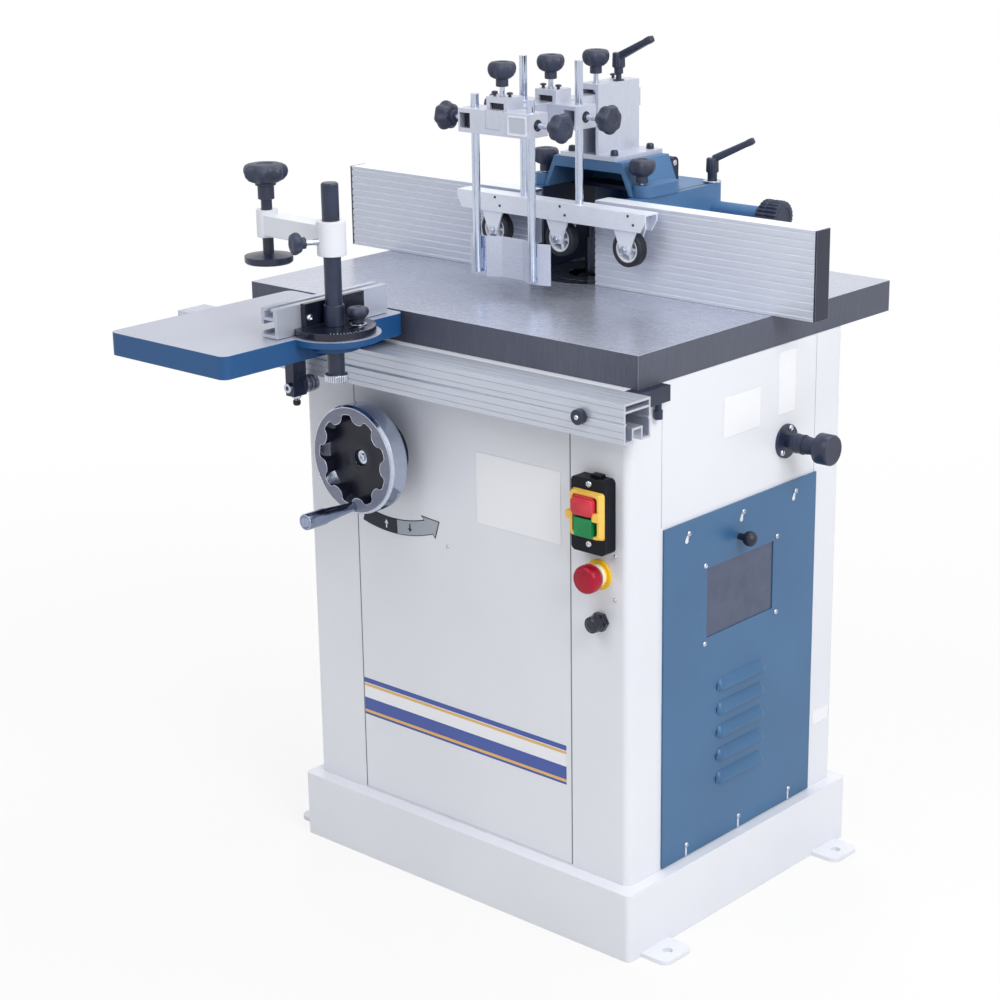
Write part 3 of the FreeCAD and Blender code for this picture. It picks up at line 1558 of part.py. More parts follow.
def tower_lever():
    foot = vec(spindle_x + tower_lever_x, hood_front + tower_lever_y, tower_top + face_gap)
    return placed(clamp_lever(), foot)


def base_lever():
    lever_x = spindle_x + base_half_width - base_lever_inset
    foot = vec(lever_x, base_back - base_lever_back, base_top + face_gap)
    return placed(clamp_lever(), foot, along_z, base_lever_turn)


parts = {
    "plinth": plinth(),
    "cabinet": cabinet(),
    "front_panel": front_panel(),
    "side_cover": side_cover(),
    "main_table": main_table(),
    "table_rings": table_rings(),
    "slide_rail": slide_rail(),
    "rail_brackets": rail_brackets(),
    "guide_columns": guide_columns(),
    "switch_box": switch_box(),
    "estop_collar": estop_collar(),
    "cable_gland": cable_gland(),
    "bearing_flanges": bearing_flanges(),
    "spindle_carriage": spindle_carriage(),
    "drive_belt": drive_belt(),
    "motor_body": motor_body(),
    "spindle": spindle(),
    "motor_pulley": motor_pulley(),
    "rise_screw": rise_screw(),
    "handwheel": handwheel(),
    "crank_handle": crank_handle(),
    "sliding_table": sliding_table(),
    "roller_block": roller_block(),
    "guide_roller": guide_roller(),
    "mitre_disc": mitre_disc(),
    "mitre_fence": mitre_fence(),
    "mitre_knob": mitre_knob(),
    "hold_post": hold_post(),
    "hold_arm": hold_arm(),
    "hold_screw": hold_screw(),
    "hold_knob": hold_knob(),
    "arm_lock_knob": arm_lock_knob(),
    "fence_base": fence_base(),
    "hood": hood(),
    "fence_plate_left": fence_plate(-1),
    "fence_plate_right": fence_plate(1),
    "pressure_tower": pressure_tower(),
    "pressure_arm": pressure_arm(),
    "rear_holder": rod_holder(rear_holder_y),
    "front_holder": rod_holder(front_holder_y),
    "roller_bar": roller_bar(),
    "pressure_shoe": pressure_shoe(),
    "tower_knob": top_knob(hood_front + star_r, tower_top),
    "rear_top_knob": top_knob(rear_holder_y, holder_top),
    "front_top_knob": top_knob(front_holder_y, holder_top),
    "rear_side_knobs": side_knobs(rear_holder_y),
    "front_side_knobs": side_knobs(front_holder_y),
    "hood_knob_left": hood_knob(-1),
    "hood_knob_right": hood_knob(1),
    "tower_lever": tower_lever(),
    "base_lever": base_lever(),
    "adjust_knob": adjust_knob(),
    "green_button": push_button(0),
    "red_button": push_button(1),
    "estop_button": estop_button(),
    "lock_plunger": lock_plunger(),
}
for number in range(press_wheel_count):
    parts["press_roller_%d" % (number + 1)] = press_roller(number)

os.makedirs("parts", exist_ok=True)
for name, shape in parts.items():
    shape.exportStep("parts/%s.step" % name)
    print(name, len(shape.Solids), shape.isValid(), round(shape.Volume / 1000, 1))
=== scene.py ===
import bpy
import bmesh
import math
from mathutils import Matrix, Vector


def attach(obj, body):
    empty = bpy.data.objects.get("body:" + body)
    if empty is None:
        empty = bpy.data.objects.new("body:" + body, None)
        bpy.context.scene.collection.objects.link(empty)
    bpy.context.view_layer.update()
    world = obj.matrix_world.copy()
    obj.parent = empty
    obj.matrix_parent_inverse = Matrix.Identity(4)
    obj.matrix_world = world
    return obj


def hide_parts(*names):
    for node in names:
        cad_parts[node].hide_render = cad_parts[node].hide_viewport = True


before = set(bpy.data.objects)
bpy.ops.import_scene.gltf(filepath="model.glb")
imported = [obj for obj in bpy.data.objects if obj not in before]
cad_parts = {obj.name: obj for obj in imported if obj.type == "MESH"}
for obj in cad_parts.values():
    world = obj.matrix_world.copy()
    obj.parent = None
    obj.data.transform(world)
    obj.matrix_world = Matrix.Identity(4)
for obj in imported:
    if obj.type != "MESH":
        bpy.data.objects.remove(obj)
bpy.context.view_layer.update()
scene = bpy.context.scene
mm = 0.001  # the settings below are in millimetres

scene.view_settings.view_transform = "Standard"

shot = {
    "place": (2118.15, -2484.90, 1583.38), "azimuth": 42.34, "elevation": 17.57, "roll": -0.89,
    "lens": 82.424, "sensor": 36.0, "far": 100.0,
}


def addCamera(settings):
    side = math.radians(settings["azimuth"])
    rise = math.radians(settings["elevation"])
    lean = math.radians(settings["roll"])
    back = Vector((math.sin(side) * math.cos(rise), -math.cos(side) * math.cos(rise), math.sin(rise)))
    right = Vector((math.cos(side), math.sin(side), 0.0))
    up = back.cross(right)
    across = math.cos(lean) * right + math.sin(lean) * up
    upright = math.cos(lean) * up - math.sin(lean) * right
    camera = bpy.data.cameras.new("photoCamera")
    camera.sensor_fit = "HORIZONTAL"
    camera.sensor_width = settings["sensor"]
    camera.lens = settings["lens"]
    camera.clip_end = settings["far"]
    holder = bpy.data.objects.new("photoCamera", camera)
    holder.matrix_world = Matrix.Translation(Vector(settings["place"]) * mm) @ Matrix(
        (across, upright, back)).transposed().to_4x4()
    scene.collection.objects.link(holder)
    scene.camera = holder


studio = {
    "floorHalf": 20000.0,
    "floorDrop": 0.3,
    "floorTone": 0.8,
    "floorGlow": (0.8, 1.0),  # share of plain white that is seen near the object and far from it
    "floorReach": (900.0, 2600.0),
    "ambient": (0.1, 0.5),  # from below and from above
    "skySpan": (-0.4, 0.8),  # heights of the sky between which it changes
    "unseen": "backPanel",  # lights the far side but isn't mirrored in the table
    "lamps": [  # name, place, aim, size, watts
        ("rightPanel", (3300, -900, 2900), (0, 0, 600), 2200, 92),
        ("frontPanel", (-500, -3000, 3600), (0, 0, 500), 2600, 48),
        ("topPanel", (300, 900, 3600), (0, 0, 800), 2400, 40),
        ("backPanel", (-2600, 2600, 2200), (0, 0, 800), 2000, 45),
    ],
}


def setSocket(tree, socket, value):
    # a plain value or colour is set, and another socket is linked
    if isinstance(value, (float, tuple)):
        socket.default_value = value
    else:
        tree.links.new(value, socket)


def spread(tree, value, low, high, fromLow=0.0, fromHigh=1.0):
    node = tree.nodes.new("ShaderNodeMapRange")
    for label, limit in (("From Min", fromLow), ("From Max", fromHigh), ("To Min", low), ("To Max", high)):
        node.inputs[label].default_value = limit
    tree.links.new(value, node.inputs["Value"])
    return node.outputs["Result"]


def sums(tree, kind, *values):
    node = tree.nodes.new("ShaderNodeMath")
    node.operation = kind
    for socket, value in zip(node.inputs, values):
        setSocket(tree, socket, value)
    return node.outputs[0]


def seenRay(tree):
    # 1 where the ray comes from the camera, a mirror or a glass
    path = tree.nodes.new("ShaderNodeLightPath").outputs
    mirrored = sums(tree, "MAXIMUM", path["Is Camera Ray"], path["Is Glossy Ray"])
    return sums(tree, "MAXIMUM", mirrored, path["Is Transmission Ray"])


def joinSurfaces(tree, share, plain, seen, ending):
    # mixes two shaders by a share and sends them to the output
    blend = tree.nodes.new("ShaderNodeMixShader")
    out = tree.nodes.new(ending)
    tree.links.new(share, blend.inputs[0])
    tree.links.new(plain.outputs[0], blend.inputs[1])
    tree.links.new(seen.outputs[0], blend.inputs[2])
    tree.links.new(blend.outputs[0], out.inputs["Surface"])


def addFloor(settings):
    half, drop = settings["floorHalf"] * mm, settings["floorDrop"] * mm
    sheet = bpy.data.meshes.new("studioFloor")
    corners = ((-half, -half), (half, -half), (half, half), (-half, half))
    sheet.from_pydata([(x, y, -drop) for x, y in corners], [], [(0, 1, 2, 3)])
    floor = bpy.data.objects.new("studioFloor", sheet)
    scene.collection.objects.link(floor)
    paint = bpy.data.materials.new("studioFloor")
    paint.use_nodes = True
    tree = paint.node_tree
    tree.nodes.clear()
    matt = tree.nodes.new("ShaderNodeBsdfDiffuse")
    grey = settings["floorTone"]
    matt.inputs["Color"].default_value = (grey, grey, grey, 1)
    glow = tree.nodes.new("ShaderNodeEmission")
    away = tree.nodes.new("ShaderNodeVectorMath")
    away.operation = "LENGTH"
    tree.links.new(tree.nodes.new("ShaderNodeTexCoord").outputs["Object"], away.inputs[0])
    near, far = settings["floorReach"]
    fade = spread(tree, away.outputs["Value"], *settings["floorGlow"], near * mm, far * mm)
    joinSurfaces(tree, sums(tree, "MULTIPLY", seenRay(tree), fade), matt, glow, "ShaderNodeOutputMaterial")
    sheet.materials.append(paint)


def addSky(settings):
    sky = bpy.data.worlds.new("studioSky")
    sky.use_nodes = True
    scene.world = sky
    tree = sky.node_tree
    tree.nodes.clear()
    dim = tree.nodes.new("ShaderNodeBackground")
    white = tree.nodes.new("ShaderNodeBackground")
    for node in (dim, white):
        node.inputs["Color"].default_value = (1, 1, 1, 1)
    split = tree.nodes.new("ShaderNodeSeparateXYZ")
    tree.links.new(tree.nodes.new("ShaderNodeTexCoord").outputs["Generated"], split.inputs[0])
    rise = spread(tree, split.outputs["Z"], *settings["ambient"], *settings["skySpan"])
    tree.links.new(rise, dim.inputs["Strength"])
    joinSurfaces(tree, seenRay(tree), dim, white, "ShaderNodeOutputWorld")


def addLamps(settings):
    for name, place, aim, size, watts in settings["lamps"]:
        lamp = bpy.data.lights.new(name, "AREA")
        lamp.shape = "SQUARE"
        lamp.size = size * mm
        lamp.energy = watts
        holder = bpy.data.objects.new(name, lamp)
        gap = (Vector(place) - Vector(aim)) * mm
        holder.location = Vector(place) * mm
        holder.rotation_euler = gap.to_track_quat("Z", "Y").to_euler()
        holder.visible_glossy = name != settings["unseen"]
        scene.collection.objects.link(holder)


addCamera(shot)
addFloor(studio)
addSky(studio)
addLamps(studio)
print("camera and studio set")


# shader groups that several finishes share
grain = {  # spans are the parts of a noise that are used
    "peelDetail": 2.0, "driftDetail": 4.0, "driftSpan": (0.3, 0.7),
    "lineDetail": 5.0, "lineRough": 0.6, "patchDetail": 3.0, "patchShare": 0.5, "brushSpan": (0.45, 1.05),
    "edgeSamples": 6, "edgeSpan": (0.8, 1.0),
    "dustScale": 35.0, "dustDetail": 6.0, "dustSpan": (0.4, 0.75), "dustSlope": (0.5, 1.0),
}


def openGroup(name, inputs, outputs):
    tree = bpy.data.node_groups.new(name, "ShaderNodeTree")
    for label, kind, value in inputs:
        socket = tree.interface.new_socket(label, in_out="INPUT", socket_type="NodeSocket" + kind)
        if value is not None:
            socket.default_value = value
    for label, kind in outputs:
        tree.interface.new_socket(label, in_out="OUTPUT", socket_type="NodeSocket" + kind)
    return tree, tree.nodes.new("NodeGroupInput"), tree.nodes.new("NodeGroupOutput")


def addNoise(tree, vector, **sizes):
    node = tree.nodes.new("ShaderNodeTexNoise")
    tree.links.new(vector, node.inputs["Vector"])
    for label, size in sizes.items():
        setSocket(tree, node.inputs[label], size)
    return node.outputs[0]


def makePaintPeel():
    tree, start, end = openGroup("paintPeel", [
        ("Vector", "Vector", None), ("Fine", "Float", 700.0), ("Broad", "Float", 5.0),
    ], [("Drift", "Float"), ("Height", "Float")])
    where = start.outputs["Vector"]
    fine = addNoise(tree, where, Scale=start.outputs["Fine"], Detail=grain["peelDetail"])
    broad = addNoise(tree, where, Scale=start.outputs["Broad"], Detail=grain["driftDetail"])
    tree.links.new(spread(tree, broad, 0.0, 1.0, *grain["driftSpan"]), end.inputs["Drift"])
    tree.links.new(fine, end.inputs["Height"])
    return tree


def makeBrushLines():
    tree, start, end = openGroup("brushLines", [
        ("Vector", "Vector", None), ("Stretch", "Vector", (40.0, 1500.0, 1500.0)), ("Patches", "Float", 6.0),
    ], [("Drift", "Float"), ("Height", "Float")])
    where = start.outputs["Vector"]
    pull = tree.nodes.new("ShaderNodeVectorMath")
    pull.operation = "MULTIPLY"
    tree.links.new(where, pull.inputs[0])
    tree.links.new(start.outputs["Stretch"], pull.inputs[1])
    lines = addNoise(tree, pull.outputs[0], Scale=1.0, Detail=grain["lineDetail"], Roughness=grain["lineRough"])
    patches = addNoise(tree, where, Scale=start.outputs["Patches"], Detail=grain["patchDetail"])
    both = sums(tree, "MULTIPLY_ADD", patches, grain["patchShare"], lines)
    tree.links.new(spread(tree, both, 0.0, 1.0, *grain["brushSpan"]), end.inputs["Drift"])
    tree.links.new(lines, end.inputs["Height"])
    return tree


# painted highlight: a mask that is 1 along rounded edges, used to lighten the colour there; the bevel's normal also
# rounds the edges' shading
def makePaintedEdgeHighlight():
    tree, start, end = openGroup("paintedEdgeHighlight", [
        ("Radius", "Float", 0.001),
    ], [("Edge", "Float"), ("Normal", "Vector")])
    soft = tree.nodes.new("ShaderNodeBevel")
    soft.samples = grain["edgeSamples"]
    tree.links.new(start.outputs["Radius"], soft.inputs["Radius"])
    flat = tree.nodes.new("ShaderNodeNewGeometry")
    match = tree.nodes.new("ShaderNodeVectorMath")
    match.operation = "DOT_PRODUCT"
    tree.links.new(soft.outputs["Normal"], match.inputs[0])
    tree.links.new(flat.outputs["Normal"], match.inputs[1])
    tree.links.new(spread(tree, match.outputs["Value"], 1.0, 0.0, *grain["edgeSpan"]), end.inputs["Edge"])
    tree.links.new(soft.outputs["Normal"], end.inputs["Normal"])
    return tree


def makeSettledDust():
    tree, start, end = openGroup("settledDust", [
        ("Vector", "Vector", None), ("Amount", "Float", 0.3),
    ], [("Mask", "Float")])
    flat = tree.nodes.new("ShaderNodeNewGeometry")
    split = tree.nodes.new("ShaderNodeSeparateXYZ")
    tree.links.new(flat.outputs["Normal"], split.inputs[0])
    noise = addNoise(tree, start.outputs["Vector"], Scale=grain["dustScale"], Detail=grain["dustDetail"])
    upward = spread(tree, split.outputs["Z"], 0.0, 1.0, *grain["dustSlope"])
    cloud = spread(tree, noise, 0.0, 1.0, *grain["dustSpan"])
    both = sums(tree, "MULTIPLY", upward, cloud)
    tree.links.new(sums(tree, "MULTIPLY", both, start.outputs["Amount"]), end.inputs["Mask"])
    return tree


groups = {
    "peel": makePaintPeel(),
    "brush": makeBrushLines(),
    "edge": makePaintedEdgeHighlight(),
    "dust": makeSettledDust(),
}


def tone(red, green, blue):
    # screen colour, 0 to 255, as the shader wants it
    def straight(value):
        value = value / 255.0
        return value / 12.92 if value <= 0.04045 else ((value + 0.055) / 1.055) ** 2.4
    return (straight(red), straight(green), straight(blue), 1.0)


def mixPair(tree, share, first, second, kind, flow):
    # mixes two values or colours by a share
    node = tree.nodes.new("ShaderNodeMix")
    node.data_type = kind
    tree.links.new(share, node.inputs["Factor"])
    for label, value in (("A", first), ("B", second)):
        socket = [s for s in node.inputs if s.name == label and s.type == flow][0]
        setSocket(tree, socket, value)
    return [s for s in node.outputs if s.type == flow][0]


def mixTones(tree, share, first, second):
    return mixPair(tree, share, first, second, "RGBA", "RGBA")


def mixValues(tree, share, first, second):
    return mixPair(tree, share, first, second, "FLOAT", "VALUE")


def layFinish(tree, coords, spec):
    pattern = addGroup(tree, spec["grain"])
    tree.links.new(coords, pattern.inputs["Vector"])
    for label, key in (("Fine", "fine"), ("Broad", "broad"), ("Stretch", "stretch"), ("Patches", "patches")):
        if key in spec:
            pattern.inputs[label].default_value = spec[key]
    colour = mixTones(tree, pattern.outputs["Drift"], tone(*spec["dark"]), tone(*spec["light"]))
    rough = spread(tree, pattern.outputs["Drift"], *spec["rough"])
    return colour, rough, pattern.outputs["Height"]


def zoneMask(tree, coords, zone):
    # 1 inside the zone: past a plane, or within half a width of a middle plane, and in the other zone it names
    if "also" in zone:
        first = {key: value for key, value in zone.items() if key != "also"}
        return sums(tree, "MULTIPLY", zoneMask(tree, coords, first), zoneMask(tree, coords, zone["also"]))
    split = tree.nodes.new("ShaderNodeSeparateXYZ")
    tree.links.new(coords, split.inputs[0])
    part = split.outputs[zone["axis"]]
    if "half" in zone:
        away = sums(tree, "ABSOLUTE", sums(tree, "SUBTRACT", part, zone["middle"] * mm))
        return sums(tree, "LESS_THAN", away, zone["half"] * mm)
    if "over" in zone:
        return sums(tree, "GREATER_THAN", part, zone["over"] * mm)
    return sums(tree, "LESS_THAN", part, zone["under"] * mm)


finishes = {}
specs = {}
usual = {"shine": 0.5, "dustTone": (186, 192, 208)}


def setFinish(name, base=None, **changes):
    # what a finish is made of: another one's values, and those that change
    specs[name] = dict(specs.get(base, {}), **changes)


def addGroup(tree, name):
    node = tree.nodes.new("ShaderNodeGroup")
    node.node_tree = groups[name]
    return node


def makeFinish(name, base, *layers):
    # each layer is another finish and the zone that it covers
    spec = specs[base]
    material = bpy.data.materials.new(name)
    material.use_nodes = True
    tree = material.node_tree
    shader = tree.nodes["Principled BSDF"]
    coords = tree.nodes.new("ShaderNodeTexCoord").outputs["Object"]
    colour, rough, height = layFinish(tree, coords, spec)
    metal = spec["metal"]
    for over, zone in layers:
        other = specs[over]
        mask = zoneMask(tree, coords, zone)
        colour2, rough2, height2 = layFinish(tree, coords, other)
        colour = mixTones(tree, mask, colour, colour2)
        rough = mixValues(tree, mask, rough, rough2)
        height = mixValues(tree, mask, height, height2)
        if other["metal"] != spec["metal"] or metal != spec["metal"]:
            metal = mixValues(tree, mask, metal, other["metal"])
    setSocket(tree, shader.inputs["Metallic"], metal)
    shader.inputs["Specular IOR Level"].default_value = spec.get("shine", usual["shine"])
    # painted highlight: the colour is lightened along the edges towards a paler tone, by the finish's edge highlight
    # share
    edge = addGroup(tree, "edge")
    edge.inputs["Radius"].default_value = spec["soft"] * mm
    highlighted = sums(tree, "MULTIPLY", edge.outputs["Edge"], spec["wear"])
    colour = mixTones(tree, highlighted, colour, tone(*spec["rub"]))
    if spec.get("dust"):
        film = addGroup(tree, "dust")
        film.inputs["Amount"].default_value = spec["dust"]
        tree.links.new(coords, film.inputs["Vector"])
        colour = mixTones(tree, film.outputs["Mask"], colour, tone(*usual["dustTone"]))
    tree.links.new(colour, shader.inputs["Base Color"])
    tree.links.new(rough, shader.inputs["Roughness"])
    bump = tree.nodes.new("ShaderNodeBump")
    bump.inputs["Strength"].default_value = spec["bump"]
    bump.inputs["Distance"].default_value = spec["depth"] * mm
    tree.links.new(height, bump.inputs["Height"])
    tree.links.new(edge.outputs["Normal"], bump.inputs["Normal"])
    tree.links.new(bump.outputs["Normal"], shader.inputs["Normal"])
    finishes[name] = material


# in each finish, the edge highlight share and the paler highlight tone are a painted highlight along its edges
setFinish("whitePaint", grain="peel", dark=(225, 228, 236), light=(233, 235, 242), rough=(0.32, 0.42), metal=0.0,
          fine=420.0, broad=3.0, bump=0.25, depth=0.06, soft=1.2, wear=0.25, rub=(244, 245, 250))
setFinish("bluePaint", grain="peel", dark=(52, 96, 138), light=(62, 108, 150), rough=(0.3, 0.42), metal=0.0,
          fine=420.0, broad=6.0, bump=0.3, depth=0.06, soft=1.0, wear=0.3, rub=(104, 146, 184))
setFinish("castBlue", "bluePaint", dark=(12, 68, 121), light=(21, 82, 135), fine=160.0, depth=0.25, rough=(0.4, 0.54),
          soft=2.0, rub=(84, 128, 170))
setFinish("hoodBlue", "castBlue", dark=(64, 107, 152), light=(82, 123, 167))
# painted shade: a dark navy copy of the cast blue for the inside of the fence base's opening
setFinish("shadedInsideBlue", "castBlue", dark=(4, 18, 48), light=(8, 26, 60), shine=0.2)
setFinish("groundIron", grain="brush", dark=(174, 178, 195), light=(197, 202, 217), rough=(0.22, 0.32), metal=0.6,
          stretch=(30.0, 900.0, 900.0), patches=5.0, bump=0.12, depth=0.03, soft=0.8, wear=0.8, rub=(228, 230, 238))
setFinish("slideIron", "groundIron", dark=(168, 172, 188), light=(190, 194, 208), rough=(0.3, 0.42), metal=0.5)
setFinish("sideIron", "groundIron", dark=(70, 73, 88), light=(97, 101, 117), rough=(0.48, 0.6), metal=0.2,
          stretch=(900.0, 900.0, 40.0))
setFinish("drawnAluminium", grain="brush", dark=(184, 189, 204), light=(206, 211, 224), rough=(0.3, 0.42), metal=0.5,
          stretch=(25.0, 1200.0, 1200.0), patches=4.0, bump=0.1, depth=0.03, soft=0.6, wear=0.6, rub=(240, 242, 250))
setFinish("fenceFace", "drawnAluminium", dark=(184, 190, 206), light=(202, 207, 221), metal=0.4)
# painted light: the right fence plate is the same extrusion as the left, given a lighter tone where more light falls on
# it
setFinish("fenceFaceLit", "fenceFace", dark=(206, 211, 224), light=(222, 226, 237))
# painted highlight: a paler copy of the drawn aluminium for the fence grooves and the holder pocket's rim, standing in
# for their lit walls
setFinish("paintedWallHighlight", "drawnAluminium", dark=(226, 231, 242), light=(240, 244, 252), metal=0.2, rough=(0.4, 0.5))
setFinish("milledAluminium", "drawnAluminium", stretch=(600.0, 600.0, 60.0), dark=(192, 197, 212),
          light=(210, 214, 228))
setFinish("brightSteel", grain="brush", dark=(178, 184, 198), light=(206, 211, 224), rough=(0.18, 0.3), metal=1.0,
          stretch=(700.0, 700.0, 60.0), patches=8.0, bump=0.08, depth=0.02, soft=0.5, wear=0.4, rub=(240, 241, 245))
setFinish("zincSteel", "brightSteel", dark=(208, 214, 229), light=(228, 233, 245), rough=(0.36, 0.5), metal=0.45,
          stretch=(60.0, 500.0, 500.0))
setFinish("barZinc", "zincSteel", dark=(222, 228, 241), light=(238, 242, 251), metal=0.25)
setFinish("shoeZinc", "zincSteel", dark=(190, 196, 212), light=(212, 217, 232))
setFinish("oiledSteel", "brightSteel", dark=(50, 54, 66), light=(72, 77, 90), metal=0.7)
setFinish("chrome", "brightSteel", dark=(176, 186, 206), light=(206, 214, 230), rough=(0.1, 0.18), patches=12.0)
setFinish("crankChrome", "chrome", dark=(132, 143, 167), light=(164, 175, 197))
setFinish("wheelGrey", "zincSteel", dark=(112, 115, 134), light=(134, 138, 158), metal=0.4, rough=(0.3, 0.4))
setFinish("blackPlastic", grain="peel", dark=(16, 22, 42), light=(28, 35, 58), rough=(0.36, 0.5), metal=0.0,
          fine=900.0, broad=30.0, bump=0.35, depth=0.05, soft=0.8, wear=0.35, rub=(84, 88, 104), dust=0.04)
setFinish("boxPlastic", "blackPlastic", dark=(8, 9, 18), light=(16, 18, 30), shine=0.18, dust=0.0)
setFinish("gripPlastic", "blackPlastic", dark=(32, 39, 60), light=(46, 54, 78), rough=(0.42, 0.56), fine=700.0,
          dust=0.03, rub=(104, 112, 136))
setFinish("glossBlack", "blackPlastic", dark=(18, 21, 36), light=(28, 32, 50), rough=(0.14, 0.24), bump=0.1, dust=0.0)
setFinish("dishBlack", "glossBlack", dark=(20, 22, 38), light=(30, 32, 50), rough=(0.3, 0.4), shine=0.35)
setFinish("blackSteel", "blackPlastic", dark=(22, 30, 52), light=(38, 48, 74), rough=(0.24, 0.38), fine=500.0,
          dust=0.02)
setFinish("greyCast", "castBlue", dark=(96, 99, 104), light=(116, 118, 123), rub=(150, 152, 156))
setFinish("blackRubber", "blackPlastic", dark=(18, 20, 30), light=(30, 33, 44), rough=(0.55, 0.72), fine=600.0)
setFinish("armWhite", "whitePaint", fine=220.0, depth=0.18, soft=2.0)
setFinish("buttonRed", "blackPlastic", dark=(152, 2, 36), light=(172, 8, 48), rough=(0.24, 0.36), rub=(206, 60, 92),
          dust=0.0, shine=0.3)
setFinish("switchRed", "buttonRed", dark=(196, 44, 60), light=(218, 66, 80))
setFinish("switchGreen", "buttonRed", dark=(16, 128, 70), light=(28, 150, 86), rub=(96, 196, 140))
setFinish("signalYellow", "buttonRed", dark=(238, 190, 18), light=(250, 206, 34), rub=(255, 228, 110))
setFinish("switchYellow", "buttonRed", dark=(240, 192, 78), light=(250, 208, 104), rub=(255, 226, 150))
setFinish("creamPlastic", "buttonRed", dark=(236, 230, 206), light=(246, 241, 222), rub=(252, 250, 240))
setFinish("paneGrey", "blackPlastic", dark=(62, 72, 98), light=(74, 84, 112), rough=(0.16, 0.24), rub=(104, 112, 134),
          dust=0.0, bump=0.05)
setFinish("signFilm", "whitePaint", dark=(238, 240, 246), light=(244, 245, 250), rough=(0.22, 0.3), bump=0.08)
setFinish("stripeBlue", "signFilm", dark=(60, 82, 160), light=(68, 92, 172), rub=(90, 112, 190))
setFinish("stripeGold", "signFilm", dark=(228, 178, 96), light=(238, 192, 112), rub=(246, 214, 150))
setFinish("decalGrey", "signFilm", dark=(158, 165, 176), light=(172, 178, 188), rub=(186, 192, 200))
setFinish("decalDark", "signFilm", dark=(22, 26, 44), light=(32, 37, 56), rub=(56, 62, 84), rough=(0.4, 0.5),
          shine=0.3)
setFinish("decalBright", "signFilm", dark=(226, 229, 238), light=(234, 236, 244))
setFinish("seamDark", "signFilm", dark=(92, 97, 112), light=(108, 113, 128), rub=(120, 126, 140))


def finishOf(name):
    # a plain finish is made when it's first asked for
    if name not in finishes:
        makeFinish(name, name)
    return finishes[name]


# nodes whose solids carry several finishes, split by planes
ground = {"axis": "Z", "over": 859.8}  # the top faces of both tables
makeFinish("tableIron", "sideIron", ("groundIron", ground))
makeFinish("slideTable", "castBlue", ("slideIron", ground))
# painted highlight: the fence plates past y = 75.4, where the grooves are, get the paler tone
grooves = ("paintedWallHighlight", {"axis": "Y", "over": 75.4})
# painted shade: the left plate's right end face, past x = -145.3, takes the dark side iron tone as if in shadow
makeFinish("leftFence", "fenceFace", grooves, ("blackPlastic", {"axis": "X", "under": -525.9}),
           ("sideIron", {"axis": "X", "over": -145.3}))
# painted light: the right plate takes the lighter copy of the fence face tone
makeFinish("rightFence", "fenceFaceLit", grooves, ("blackPlastic", {"axis": "X", "over": 371.9}))
# painted shade: within 84.1 of x = -80 and in front of y = 250, the fence base's inside is dark navy
makeFinish("baseBlue", "hoodBlue", ("shadedInsideBlue", {
    "axis": "X", "middle": -80.0, "half": 84.1, "also": {"axis": "Y", "under": 250.0}}))
makeFinish("coverBlue", "bluePaint", ("blackPlastic", {"axis": "X", "over": 308.4}))
makeFinish("stopPlate", "signalYellow", ("creamPlastic", {"axis": "Y", "under": -247.2}))
makeFinish("rollerBar", "barZinc", ("chrome", {"axis": "Z", "over": 984.9}))
makeFinish("springShoe", "shoeZinc", ("chrome", {"axis": "Y", "under": -48.4}))
makeFinish("holdPost", "blackSteel", ("brightSteel", {"axis": "Z", "under": 801.6}))

nodeFinish = {
    "plinth": "whitePaint", "cabinet": "whitePaint", "front_panel": "whitePaint", "side_cover": "coverBlue",
    "main_table": "tableIron", "table_rings": "brightSteel", "slide_rail": "drawnAluminium",
    "rail_brackets": "blackSteel", "guide_columns": "brightSteel", "switch_box": "boxPlastic",
    "estop_collar": "stopPlate", "cable_gland": "glossBlack", "bearing_flanges": "blackSteel",
    "spindle_carriage": "greyCast", "drive_belt": "blackRubber", "motor_body": "greyCast",
    "spindle": "oiledSteel", "motor_pulley": "milledAluminium", "rise_screw": "zincSteel",
    "handwheel": "chrome", "crank_handle": "crankChrome", "sliding_table": "slideTable",
    "roller_block": "blackSteel", "guide_roller": "brightSteel", "mitre_disc": "glossBlack",
    "mitre_fence": "drawnAluminium", "hold_post": "holdPost", "hold_arm": "armWhite", "hold_screw": "blackSteel",
    "fence_base": "baseBlue", "hood": "hoodBlue", "fence_plate_left": "leftFence", "fence_plate_right": "rightFence",
    "pressure_tower": "milledAluminium", "pressure_arm": "milledAluminium", "rear_holder": "milledAluminium",
    "front_holder": "milledAluminium", "roller_bar": "rollerBar", "pressure_shoe": "springShoe",
    "press_roller_1": "blackRubber", "press_roller_2": "blackRubber", "press_roller_3": "blackRubber",
    "green_button": "switchGreen", "red_button": "switchRed", "estop_button": "buttonRed",
    "lock_plunger": "blackSteel",
}
for node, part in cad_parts.items():
    for slot in part.material_slots:
        slot.material = finishOf(nodeFinish.get(node, "gripPlastic"))
print("finishes laid on the nodes:", len(finishes))


# shape tools, all in millimetres
walls = {"front": -242.0, "right": 305.0}  # the cabinet's faces
smoothing = {"film": 20, "usual": 35, "round": 40, "grip": 45, "rim": 50, "soft": 60}  # degrees
usualSteps = 48


def frontPlane(y):
    # a plane to draw on, with w outwards, as the three below
    return lambda u, v, w: Vector((u, y - w, v))


def rightPlane(x):
    return lambda u, v, w: Vector((x + w, u, v))


def topPlane(z):
    return lambda u, v, w: Vector((u, v, z + w))


def discPlane(x, y, z):
    return lambda u, v, w: Vector((x + u, y - w, z + v))


frontSpot = frontPlane(walls["front"])
sideSpot = rightPlane(walls["right"])


